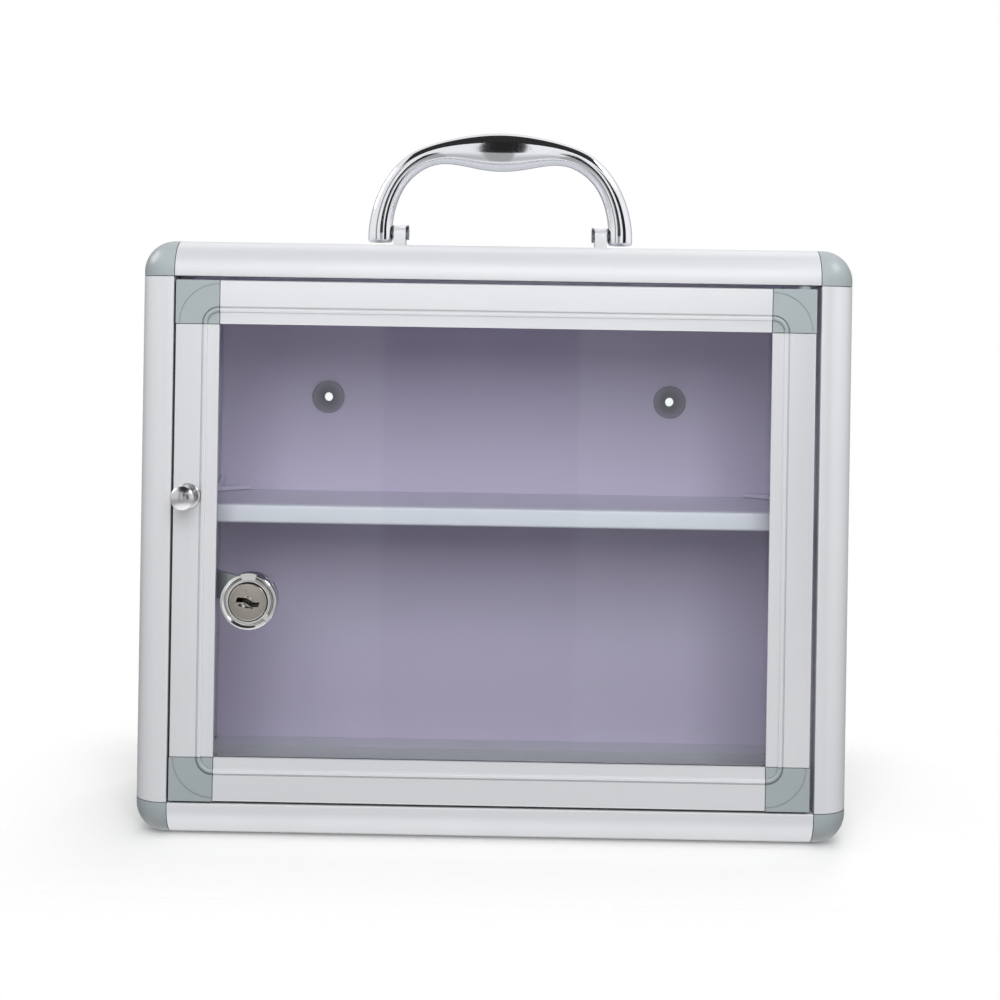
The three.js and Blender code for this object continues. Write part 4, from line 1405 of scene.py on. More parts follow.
@dataclass
class DoorLeaf:
    """Two rails, two stiles and four plastic corners."""

    leaf: LeafSpace
    fillet: float = 0.8
    band: float = 11.0
    step: float = 0.6
    bead_at: float = 12.4
    bead: float = 1.0
    face: float = 18.2
    lip: float = 2.0
    seat: float = 12.4
    seat_rear: float = 8.0
    rear_lip: float = 17.0
    thick: float = 9.6
    wall: float = 1.6
    gap: float = 0.3
    edge: float = 0.12
    corner_round: float = 0.6
    corner_edge: float = 0.14
    groove_at: float = 16.6
    groove: float = 0.5
    groove_deep: float = 0.22
    tongue: Loop = field(default_factory=lambda: rectangle(1.9, 1.9, 10.5, 7.7))
    tongue_long: float = 15.0
    boss: float = 3.0
    boss_at: Point2 = (4.6, 4.4)
    boss_root: float = 0.5
    bead_arc: int = 14
    bead_steps: int = 24
    bead_sides: int = 16
    round_steps: int = 6
    groove_steps: int = 180
    recess_steps: int = 96
    boss_steps: int = 48

    def section(self) -> list[Loop]:
        """The leaf profile's section, from the outer edge inwards and from the front back.

        Returns:
            Its outline and chamber.
        """
        outline = arc((self.fillet, self.fillet), self.fillet, 180.0, 270.0, self.round_steps)
        outline += [(self.band, 0.0), (self.band, self.step)]
        outline += arc((self.bead_at, self.step), self.bead, 180.0, 360.0, self.bead_arc)
        outline += [(self.face, self.step), (self.face, self.lip), (self.seat, self.lip)]
        outline += [(self.seat, self.seat_rear), (self.rear_lip, self.seat_rear)]
        outline += [(self.rear_lip, self.thick), (0.0, self.thick)]
        return [outline, rectangle(self.wall, self.wall, self.seat - self.wall, self.seat_rear)]

    def _bars(self) -> None:
        """Builds the rails and stiles."""
        leaf, margin = self.leaf, self.face + self.gap
        for level in Level:
            profile_bar(
                f"door_rail_{level.word}", self.section(),
                lambda u, v, t: leaf.at(Side.LEFT, t, v, level, u),
                (margin, leaf.right - leaf.left - margin), self.edge, Coat.DOOR_RAILS, Body.DOOR,
            )
        for side in Side:
            profile_bar(
                f"door_stile_{side.word}", self.section(),
                lambda u, v, t: leaf.at(side, u, v, Level.BOTTOM, t),
                (margin, leaf.top - leaf.bottom - margin), self.edge, Coat.DOOR_STILES, Body.DOOR,
            )

    def _corner(self, side: Side, level: Level) -> None:
        """Builds one plastic corner with its engraved arc, recess and bead.

        Args:
            side: left or right.
            level: bottom or top.
        """
        leaf, face, bend = self.leaf, self.face, self.corner_round

        def place(a: float, b: float, y: float) -> Vector:
            """A point counted inwards from the corner's two outer edges."""
            return leaf.at(side, a, y, level, b)

        outline = arc((bend, bend), bend, 180.0, 270.0, self.round_steps)
        outline += [(face, 0.0), (face, face), (0.0, face)]
        node = f"door_corner_{level.word}_{side.word}"
        block = sweep(f"moulded_{node}", [outline], place, 0.0, self.thick)
        half = self.groove / 2
        middle, steps = (face, face), self.groove_steps
        ring = [circle(middle, self.groove_at + off, steps) for off in (half, -half)]
        groove = sweep("groove", ring, place, -face, self.groove_deep)
        round_recess = [circle(middle, face - self.band, self.recess_steps)]
        recess = sweep("recess", round_recess, place, -face, self.step)
        carve(block, [groove, recess])
        bm = bmesh.new()
        bm.from_mesh(block.data)
        self._bead(bm, place)
        reach = face + self.tongue_long
        sweep("tongue", [self.tongue], lambda u, v, t: place(t, u, v), face, reach, bm)
        sweep("tongue", [self.tongue], lambda u, v, t: place(u, t, v), face, reach, bm)
        if side is Side.RIGHT:
            low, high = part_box(node)
            above = leaf.bottom - low.z / MM if level is Level.BOTTOM else high.z / MM - leaf.top
            boss = [circle(self.boss_at, self.boss, self.boss_steps)]
            sweep("boss", boss, lambda u, v, t: place(u, t, v), -above, self.boss_root, bm)
        bm.to_mesh(block.data)
        bm.free()
        smooth(block.data)
        soften(block, self.corner_edge)
        dress(block, Coat.CORNERS, Body.DOOR, [node])

    def _bead(self, bm: bmesh.types.BMesh, place: Placer) -> None:
        """Adds the quarter ring that carries the bead round a corner.

        Args:
            bm: the corner's mesh.
            place: turns a point counted inwards from the corner into a place.
        """
        face, major = self.face, self.face - self.bead_at
        rings = []
        for i in range(self.bead_steps + 1):
            turned = math.radians(180.0 + 90.0 * i / self.bead_steps)
            ring = []
            for j in range(self.bead_sides):
                angle = math.tau * j / self.bead_sides
                reach = major + self.bead * math.cos(angle)
                a, b = face + reach * math.cos(turned), face + reach * math.sin(turned)
                ring.append(bm.verts.new(place(a, b, self.step + self.bead * math.sin(angle))))
            rings.append(ring)
        for first, second in zip(rings, rings[1:]):
            bridge(bm, first, second)
        bm.faces.new(rings[0])
        bm.faces.new(rings[-1])
        bmesh.ops.recalc_face_normals(bm, faces=bm.faces)

    def build(self) -> int:
        """Builds the leaf.

        Returns:
            How many pieces it has.
        """
        self._bars()
        for side, level in product(Side, Level):
            self._corner(side, level)
        return 2 * len(Side) * len(Level)


@dataclass
class Glazing:
    """The pane, its gasket and the hinge pins, which are kept as the CAD nodes."""

    nodes: dict
    gasket_edge: float = 0.25
    pin_edge: float = 0.2

    def build(self) -> int:
        """Finishes the nodes.

        Returns:
            How many there are.
        """
        kept = [("glass_pane", Coat.GLASS, 0.0), ("glass_gasket", Coat.GASKET, self.gasket_edge)]
        kept += [(f"hinge_pin_{level.word}", Coat.ZINC, self.pin_edge) for level in Level]
        for name, coat, edge in kept:
            keep(self.nodes[name], coat, edge)
        return len(kept)


@dataclass
class PullKnob:
    """The small domed knob and its rosette on the left stile."""

    space: CaseSpace
    head: float = 5.0
    front: float = -14.5
    rim_front: float = -12.4
    rim_rear: float = -11.2
    taper: float = 1.4
    neck: float = 2.6
    seat: float = -2.4
    stud: float = 2.0
    under: Point2 = (0.85, 0.15)
    root: Point2 = (0.5, 0.7)
    rosette: float = 5.2
    rosette_bore: float = 2.3
    rosette_front: float = -2.1
    rosette_rear: float = -0.3
    rosette_bevel: float = 0.6
    dome_steps: int = 14
    rim_arc: Point2 = (-70.0, 80.0)
    rim_steps: int = 8
    bevel_steps: int = 6

    def _dome(self) -> Loop:
        """The domed front.

        Returns:
            Its points, from the middle outwards.
        """
        rise = self.rim_front - self.front
        radius = (self.head ** 2 + rise ** 2) / (2 * rise)
        spread = math.asin(self.head / radius)
        angles = [spread * i / self.dome_steps for i in range(self.dome_steps)]
        return [(radius * math.sin(a), self.front + radius * (1 - math.cos(a))) for a in angles]

    def build(self) -> int:
        """Builds both pieces.

        Returns:
            How many pieces were made.
        """
        centre = axis_point("pull_knob", self.space.front)
        bend, rear = (self.rim_rear - self.rim_front) / 2, self.rim_rear
        profile = self._dome()
        profile += arc((self.head - bend, self.rim_front + bend), bend, *self.rim_arc, self.rim_steps)
        profile.append((self.head * self.under[0], rear + self.under[1]))
        profile.append((self.neck + self.root[0], rear + self.taper * self.root[1]))
        end = (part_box("pull_knob")[1].y - self.space.front) / MM
        profile += [(self.neck, rear + self.taper), (self.neck, self.seat), (self.stud, self.seat)]
        profile += [(self.stud, end), (0.0, end)]
        knob = turn("turned_pull_knob", profile, centre, Axis.Y)
        dress(knob, Coat.KNOB, Body.DOOR, ["pull_knob"])
        bore, wide, bevel = self.rosette_bore, self.rosette, self.rosette_bevel
        front = self.rosette_front
        plate = [(bore, front), (wide - bevel, front)]
        plate += arc((wide - bevel, front + bevel), bevel, -90.0, 0.0, self.bevel_steps)
        plate += [(wide, self.rosette_rear), (bore, self.rosette_rear)]
        rosette = turn("turned_knob_rosette", plate, centre, Axis.Y, closed=True)
        dress(rosette, Coat.NICKEL, Body.DOOR, ["knob_rosette"])
        return 2


@dataclass
class CamLock:
    """The key lock: bezel with two notches, plug with a zig-zag keyway, nut, cam and screw.

    The bezel's points are radius and place behind its front, the dish's are shares of the keyway's mouth.
    """

    space: CaseSpace
    nodes: dict
    rest_turn: float = 17.0
    bore: float = 8.2
    barrel: float = 9.4
    barrel_lead: float = 0.2
    rim: float = 11.75
    crest: float = 11.0
    inner: float = 8.9
    front: float = -0.5
    bezel: tuple[Point2, ...] = (
        (8.2, 0.6), (8.35, 0.35), (8.8, 0.35), (8.9, 0.5), (8.9, 1.3), (9.3, 1.3),
        (10.65, 0.15), (10.85, 0.0), (11.05, 0.0),
    )
    flange_rear: float = 3.1
    thread_pitch: float = 0.8
    thread_deep: float = 0.35
    thread_top: float = 0.3
    thread_root: float = 0.75
    notches: tuple[Point2, ...] = ((0.0, 17.0), (132.0, 6.5))
    notch_deep: float = 1.3
    notch_inner: float = 0.15
    notch_outer: float = 0.55
    housing_edge: float = 0.12
    nut: float = 11.3
    nut_slot: float = 2.2
    nut_slots: int = 4
    nut_edge: float = 0.4
    nut_gap: float = 0.1
    plug: float = 7.9
    plug_front: float = -1.0
    plug_bevel: float = 0.5
    plug_edge: float = 0.1
    mouth: float = 2.5
    mouth_deep: float = 0.8
    dish: tuple[Point2, ...] = ((0.0, 1.0), (0.55, 0.8), (0.9, 0.3), (1.0, 0.0))
    key_long: float = 9.6
    key_wide: float = 2.1
    key_step: float = 0.9
    key_deep: float = 9.0
    key_bends: tuple[float, ...] = (-0.5, -0.15, 0.2, 0.5)
    wards: tuple[Point2, ...] = ((-0.5, 1.75), (-2.6, -2.1), (2.0, -1.5))
    ward: float = 0.55
    ward_long: float = 1.6
    ward_taper: float = 0.6
    cam_edge: float = 0.3
    rim_start: float = -80.0
    rim_steps: int = 7
    notch_steps: int = 12
    bevel_steps: int = 5
    bezel_sides: int = 144
    bezel_crease: float = 28.0
    plug_sides: int = 120

    def _about(self, centre: Vector, angle: float = 0.0) -> Placer:
        """Places about the lock's axis.

        Args:
            centre: where the axis meets the case's front.
            angle: how far the first direction is turned up from the x axis, in radians.

        Returns:
            What turns two directions across the axis and one along it into a place.
        """
        cosine, sine = math.cos(angle), math.sin(angle)

        def place(u: float, v: float, y: float) -> Vector:
            """A point from its two turned directions and its depth."""
            return centre + Vector(((u * cosine - v * sine) * MM, y * MM, (u * sine + v * cosine) * MM))

        return place

    def _housing(self, centre: Vector, rear: float) -> None:
        """Builds the bezel and threaded barrel.

        Args:
            centre: where the lock's axis meets the case's front.
            rear: where the barrel ends.
        """
        front, rim, bend = self.front, self.rim, self.rim - self.crest
        profile = [(radius, front + deep) for radius, deep in self.bezel]
        profile += arc((self.crest, front + bend), bend, self.rim_start, 0.0, self.rim_steps)
        profile += [(rim, self.flange_rear), (self.barrel, self.flange_rear)]
        pitch, root = self.thread_pitch, self.barrel - self.thread_deep
        for i in range(int((rear - self.flange_rear) / pitch)):
            start = self.flange_rear + pitch * i
            profile.append((self.barrel, start + pitch * self.thread_top))
            profile.append((root, start + pitch * self.thread_root))
        profile += [(self.barrel - self.barrel_lead, rear), (self.bore, rear)]
        sides, crease = self.bezel_sides, self.bezel_crease
        housing = turn("turned_lock_housing", profile, centre, Axis.Y, sides, crease, closed=True)
        place, tools = self._about(centre), []
        for degrees, half in self.notches:
            first, last = 90.0 - degrees - half, 90.0 - degrees + half
            outline = arc((0.0, 0.0), rim + self.notch_outer, first, last, self.notch_steps)
            outline += arc((0.0, 0.0), self.inner + self.notch_inner, last, first, self.notch_steps)
            tools.append(sweep("notch", [outline], place, front - rim, front + self.notch_deep))
        carve(housing, tools)
        soften(housing, self.housing_edge)
        dress(housing, Coat.NICKEL, Body.DOOR, ["lock_housing"])

    def _nut(self, centre: Vector) -> None:
        """Builds the ring nut on the barrel, with its spanner slots.

        Args:
            centre: where the lock's axis meets the case's front.
        """
        low, high = ((corner.y - self.space.front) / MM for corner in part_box("lock_nut"))
        outer, inner, edge, half = self.nut, self.barrel + self.nut_gap, self.nut_edge, self.nut_slot / 2
        profile = [(inner, low), (outer - edge, low), (outer, low + edge), (outer, high - edge)]
        profile += [(outer - edge, high), (inner, high)]
        nut = turn("turned_lock_nut", profile, centre, Axis.Y, closed=True)
        bar = rectangle(outer - half, -half, outer + half, half)
        angles = [math.tau * (i + 0.5) / self.nut_slots for i in range(self.nut_slots)]
        places = [self._about(centre, angle) for angle in angles]
        carve(nut, [sweep("slot", [bar], place, low - half, high + half) for place in places])
        dress(nut, Coat.ZINC, Body.DOOR, ["lock_nut"])

    def _plug(self, centre: Vector, rear: float) -> None:
        """Builds the plug with keyway and ward nicks, turned to its rest angle.

        Args:
            centre: where the lock's axis meets the case's front.
            rear: where the plug ends.
        """
        place = self._about(centre, -math.radians(self.rest_turn))
        front, wide, bevel = self.plug_front, self.plug, self.plug_bevel
        profile = [(self.mouth * u, front + self.mouth_deep * v) for u, v in self.dish]
        profile += arc((wide - bevel, front + bevel), bevel, -90.0, 0.0, self.bevel_steps)
        profile += [(wide, rear), (0.0, rear)]
        plug = turn("turned_lock_plug", profile, centre, Axis.Y, self.plug_sides)
        steps = [self.key_step / 2 * (1 if i % 2 else -1) for i in range(len(self.key_bends))]
        bends = [(share * self.key_long, step) for share, step in zip(self.key_bends, steps)]
        half = self.key_wide / 2
        slot = [(u, v - half) for u, v in bends] + [(u, v + half) for u, v in reversed(bends)]
        tools = [sweep("keyway", [slot], place, front - wide, front + self.key_deep)]
        near, far = self.ward, self.ward * self.ward_long
        slim = far * self.ward_taper
        for u, v in self.wards:
            nick = [(u - far, v - near), (u + far, v - near), (u + slim, v + near), (u - slim, v + near)]
            tools.append(sweep("nick", [nick], place, front - wide, front + self.ward))
        carve(plug, tools)
        soften(plug, self.plug_edge)
        dress(plug, Coat.PLUG, Body.LOCK, ["lock_plug"])

    def build(self) -> int:
        """Builds the lock.

        Returns:
            How many pieces it has.
        """
        centre = axis_point("lock_housing", self.space.front)
        rear = (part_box("lock_housing")[1].y - self.space.front) / MM
        self._housing(centre, rear)
        self._plug(centre, rear)
        self._nut(centre)
        kept = "lock_cam", "cam_screw"
        for name in kept:
            keep(self.nodes[name], Coat.ZINC, self.cam_edge)
        return 3 + len(kept)


@dataclass
class Handle:
    """The folding chrome bail with its brackets, pivot pins, washers, and a dark disc of painted shade in
    each leg's hollow end.
    """

    nodes: dict
    half_span: float = 54.5
    rise: float = 37.9
    squareness: float = 4.0
    shoulder_share: float = 0.565
    tail: float = 4.6
    leg: Point2 = (5.5, 4.5)
    shoulder: float = 4.6
    shoulder_fade: float = 0.6
    over: float = 3.2
    under: float = 4.9
    grip_deep: float = 6.0
    grip_half: float = 34.8
    section_power: float = 5.0 / 6.0
    end_round: float = 1.2
    end_steps: int = 6
    hollow: float = 3.1
    hollow_deep: float = 1.9
    hollow_edge: float = 0.25
    hollow_flat: float = 0.9
    crease: float = 40.0
    dense: int = 1600
    stations: int = 150
    sides: int = 48
    # Sizes of the dark disc of painted shade in each hollow leg end.
    leg_plug: float = 2.95
    leg_plug_edge: Point2 = (0.5, 0.8)
    leg_plug_low: float = 0.45
    leg_plug_steps: int = 4
    leg_plug_sides: int = 40
    post: Point2 = (42.9, 48.3)
    post_half: float = 6.5
    crown: float = 3.2
    plate_half: float = 12.0
    plate_outer: float = 60.0
    plate: float = 1.5
    plate_round: float = 3.0
    bracket_edge: float = 0.4
    bracket_steps: int = 3
    pin_edge: float = 0.2
    washer: float = 3.3
    washer_bore: float = 1.9
    washer_bevel: float = 0.15
    washer_ends: Point2 = (0.1, 0.5)
    washer_gap: float = 0.6
    washer_sides: int = 48
    crown_steps: int = 20
    plate_steps: int = 8

    @cached_property
    def pivot(self) -> Vector:
        """Where the pivot line crosses the middle, in metres."""
        low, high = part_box("handle_pin_left")
        return Vector((0.0, (low.y + high.y) / 2, (low.z + high.z) / 2))

    def _arch(self) -> list[tuple[Vector, Vector]]:
        """Spaces even stations along the arch.

        Returns:
            Each station's place from the pivot line and its direction.
        """
        dense = []
        for i in range(self.dense + 1):
            share = -math.cos(math.pi * i / self.dense)
            height = max(0.0, 1.0 - abs(share) ** self.squareness) ** self.shoulder_share
            dense.append(Vector((share * self.half_span, 0.0, self.rise * height)))
        dense[0], dense[-1] = Vector((-self.half_span, 0.0, 0.0)), Vector((self.half_span, 0.0, 0.0))
        travelled = [0.0]
        for before, after in zip(dense, dense[1:]):
            travelled.append(travelled[-1] + (after - before).length)
        places, at = [], 0
        for i in range(self.stations + 1):
            goal = travelled[-1] * i / self.stations
            while at < len(dense) - 2 and travelled[at + 1] < goal:
                at += 1
            share = (goal - travelled[at]) / (travelled[at + 1] - travelled[at])
            places.append(dense[at].lerp(dense[at + 1], share))
        steps = zip(places[1:-1], places[:-2], places[2:])
        inside = [(place, (after - before).normalized()) for place, before, after in steps]
        up = Vector((0.0, 0.0, 1.0))
        return [(places[0], up), *inside, (places[-1], -up)]

    def _sizes(self, place: Vector) -> Point3:
        """The section's sizes at a station.

        Args:
            place: the station.

        Returns:
            The half sizes outwards, inwards and along the depth.
        """
        near = min(1.0, abs(place.x) / self.grip_half)
        swell = math.cos(near * math.pi / 2) ** 2 if place.z > self.rise / 2 else 0.0
        fade = min(1.0, max(0.0, place.z / (self.rise * self.shoulder_fade)))
        half = self.leg[0] + (self.shoulder - self.leg[0]) * fade
        deep = self.leg[1] + (self.grip_deep - self.leg[1]) * swell
        return half + self.over * swell, half + self.under * swell, deep

    def _ring(self, bm: bmesh.types.BMesh, place: Vector, along: Vector, size: Point3) -> list:
        """Adds one section of the bail.

        Args:
            bm: the mesh.
            place: the section's centre from the pivot, in millimetres.
            along: the direction of the bail there.
            size: the half sizes outwards, inwards and along the depth.

        Returns:
            The section's vertices.
        """
        across = Vector((along.z, 0.0, -along.x))
        ring = []
        for i in range(self.sides):
            angle = math.tau * i / self.sides
            cosine, sine = math.cos(angle), math.sin(angle)
            width = size[1] if cosine > 0 else size[0]
            side = math.copysign(abs(cosine) ** self.section_power, cosine) * width
            back = math.copysign(abs(sine) ** self.section_power, sine) * size[2]
            point = place + across * side + Vector((0.0, back, 0.0))
            ring.append(bm.verts.new(self.pivot + point * MM))
        return ring

    def _tip(self, bm: bmesh.types.BMesh, end: Vector, along: Vector) -> list:
        """Adds a leg's rounded end, closed over its hollow.

        Args:
            bm: the mesh.
            end: the middle of the end.
            along: the direction of the bail there.

        Returns:
            The end's sections, from the hollow outwards.
        """
        size, edge = self.hollow, self.hollow_edge
        rows = [(size, self.hollow_deep), (size, edge), (size + edge, 0.0)]
        tip = [
            self._ring(bm, end + Vector((0.0, 0.0, lift)), along, (half, half, half * self.hollow_flat))
            for half, lift in rows
        ]
        for i in range(self.end_steps + 1):
            angle = math.pi / 2 * i / self.end_steps
            inset = self.end_round * (1 - math.sin(angle))
            lift = Vector((0.0, 0.0, self.end_round * (1 - math.cos(angle))))
            half, deep = self.leg[0] - inset, self.leg[1] - inset
            tip.append(self._ring(bm, end + lift, along, (half, half, deep)))
        bm.faces.new(tip[0])
        return tip

    def _bail(self) -> None:
        """Builds the bail as a skin through its sections, and a dark disc of painted shade in each hollow
        end.
        """
        bm, arch = bmesh.new(), self._arch()
        drop = Vector((0.0, 0.0, -self.tail))
        rings = self._tip(bm, arch[0][0] + drop, arch[0][1])
        rings += [self._ring(bm, place, along, self._sizes(place)) for place, along in arch]
        rings += reversed(self._tip(bm, arch[-1][0] + drop, arch[-1][1]))
        for first, second in zip(rings, rings[1:]):
            bridge(bm, first, second)
        bail = as_object("cast_handle_bail", bm, self.crease)
        dress(bail, Coat.CHROME, Body.HANDLE, ["handle_bail"])
        size, deep, (bend, low) = self.leg_plug, self.hollow_deep, self.leg_plug_edge
        profile = [(0.0, deep), (size, deep), (size, low)]
        profile += arc((size - bend, low), bend, 0.0, -90.0, self.leg_plug_steps)
        profile.append((0.0, self.leg_plug_low))
        # Each hollow leg end gets a dark disc of painted shade.
        for side in Side:
            seat = self.pivot + Vector((side.value * self.half_span, 0.0, -self.tail)) * MM
            plug = turn(f"leg_plug_{side.word}", profile, seat, Axis.Z, self.leg_plug_sides)
            dress(plug, Coat.LEG_ENDS, Body.HANDLE)

    def _bracket(self, side: Side) -> None:
        """Builds one bracket, a plate with an upright ear, and its washer.

        Args:
            side: left or right.
        """
        pivot, (near, far) = self.pivot, self.post
        node = f"handle_bracket_{side.word}"
        drop = (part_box(node)[0].z - pivot.z) / MM

        def place(x: float, y: float, z: float) -> Vector:
            """A point counted outwards from the middle, and from the pivot line."""
            return Vector((side.value * x * MM, pivot.y + y * MM, pivot.z + z * MM))

        bend = self.plate_round
        low, high = -self.plate_half + bend, self.plate_half - bend
        rounds = rectangle(near + bend, low, self.plate_outer - bend, high)
        outline = []
        for centre, start in zip(rounds, (180.0, 270.0, 0.0, 90.0)):
            outline += arc(centre, bend, start, start + 90.0, self.plate_steps)
        bm = bmesh.new()
        sweep("plate", [outline], place, drop, drop + self.plate, bm)
        foot = drop + self.plate / 2
        ear = [(-self.post_half, foot), (self.post_half, foot)]
        ear += arc((0.0, 0.0), self.crown, 0.0, 180.0, self.crown_steps)
        sweep("ear", [ear], lambda u, v, t: place(t, u, v), near, far, bm)
        bracket = as_object(f"folded_{node}", bm)
        soften(bracket, self.bracket_edge, self.bracket_steps)
        dress(bracket, Coat.BRACKETS, Body.CABINET, [node])
        wide, bore, bevel = self.washer, self.washer_bore, self.washer_bevel
        inner, outer = self.washer_ends
        section = [(bore, inner), (wide - bevel, inner), (wide, inner + bevel), (wide, outer), (bore, outer)]
        seat = place(far if side is Side.RIGHT else far + self.washer_gap, 0.0, 0.0)
        ring = turn(f"washer_{side.word}", section, seat, Axis.X, self.washer_sides, closed=True)
        dress(ring, Coat.SCREWS, Body.CABINET)

    def build(self) -> int:
        """Builds the handle.

        Returns:
            How many pieces it has.
        """
        self._bail()
        for side in Side:
            self._bracket(side)
            keep(self.nodes[f"handle_pin_{side.word}"], Coat.SCREWS, self.pin_edge)
        return 1 + 4 * len(Side)


@dataclass
class Screws:
    """Small cross-head screws, each with its own turn of the cross."""

    space: CaseSpace
    head: float = 1.5
    rise: float = 0.7
    brim: float = 0.3
    shank: float = 0.9
    sunk: float = 1.6
    cross: float = 0.42
    arm: float = 0.55
    cross_levels: Point2 = (0.35, 2.0)
    dome_steps: int = 8
    sides: int = 40
    bracket_size: float = 1.05
    bracket_inset: float = 5.2
    bracket_plate: float = 1.5
    bracket_shares: Point2 = (0.14, 0.86)
    inner_size: float = 0.85
    inner_at: Point3 = (17.6, 27.0, 9.4)
    rear_size: float = 1.1
    rear_at: Point3 = (27.0, 0.9, 12.6)
    chance: random.Random = field(default_factory=lambda: random.Random(SEED))

    def _screw(self, name: str, seat: Vector, axis: Axis, out: int, size: float) -> None:
        """Builds one screw.

        Args:
            name: the piece's name.
            seat: the middle of the head's underside.
            axis: the screw's axis.
            out: 1 or -1, the way that the head faces along it.
            size: how large it is, as a share of the fields' sizes.
        """
        head, rise, shank = self.head * size, self.rise * size, self.shank * size
        profile = [(0.0, -out * self.sunk), (shank, -out * self.sunk), (shank, 0.0), (head, 0.0)]
        profile.append((head, out * rise * self.brim))
        for i in range(1, self.dome_steps):
            angle = math.pi / 2 * i / self.dome_steps
            lift = self.brim + (1 - self.brim) * math.sin(angle)
            profile.append((head * math.cos(angle), out * rise * lift))
        profile.append((0.0, out * rise))
        screw = turn(name, profile, seat, axis, self.sides)
        turned = self.chance.uniform(0.0, math.pi / 2)
        arm, half = head * self.arm, self.cross * size / 2
        levels = sorted(out * rise * share for share in self.cross_levels)
        bar = rectangle(-arm, -half, arm, half)
        places = [around(seat, axis, angle) for angle in (turned, turned + math.pi / 2)]
        carve(screw, [sweep("cross", [bar], place, *levels) for place in places])
        dress(screw, Coat.SCREWS, Body.CABINET)

    def build(self) -> int:
        """Builds the screws in the brackets, behind the shelf, in the rear profile and in the back.

        Returns:
            How many there are.
        """
        space, made = self.space, 0
        for side in Side:
            low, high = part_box(f"handle_bracket_{side.word}")
            across = side.value * (max(abs(low.x), abs(high.x)) - self.bracket_inset * MM)
            plate = low.z + self.bracket_plate * MM
            for number, share in enumerate(self.bracket_shares):
                seat = Vector((across, low.y + (high.y - low.y) * share, plate))
                self._screw(f"screw_bracket_{side.word}_{number}", seat, Axis.Z, 1, self.bracket_size)
            x, y, z = self.inner_at
            inner = space.at(space.inwards(side, x), space.depth - y, z)
            self._screw(f"screw_inner_{side.word}", inner, Axis.Y, -1, self.inner_size)
            x, y, z = self.rear_at
            for level in Level:
                rear = space.at(space.inwards(side, x), space.depth - y, space.raised(level, z))
                self._screw(f"screw_back_{side.word}_{level.word}", rear, Axis.Y, 1, self.rear_size)
            made += len(self.bracket_shares) + 1 + len(Level)
        return made


# The studio


@dataclass(frozen=True)
class Lamp:
    """A soft square lamp that looks at the box."""

    name: str
    place: Point3
    size: float
    power: float

    def build(self, aim: Vector) -> None:
        """Makes the lamp.

        Args:
            aim: the point that it is turned to.
        """
        data = bpy.data.lights.new(self.name, "AREA")
        data.shape = "SQUARE"
        data.size = self.size
        data.energy = self.power
        lamp = bpy.data.objects.new(self.name, data)
        lamp.visible_glossy = lamp.visible_camera = False
        lamp.location = self.place
        lamp.rotation_mode = "QUATERNION"
        lamp.rotation_quaternion = (aim - Vector(self.place)).to_track_quat("-Z", "Y")
        bpy.context.scene.collection.objects.link(lamp)


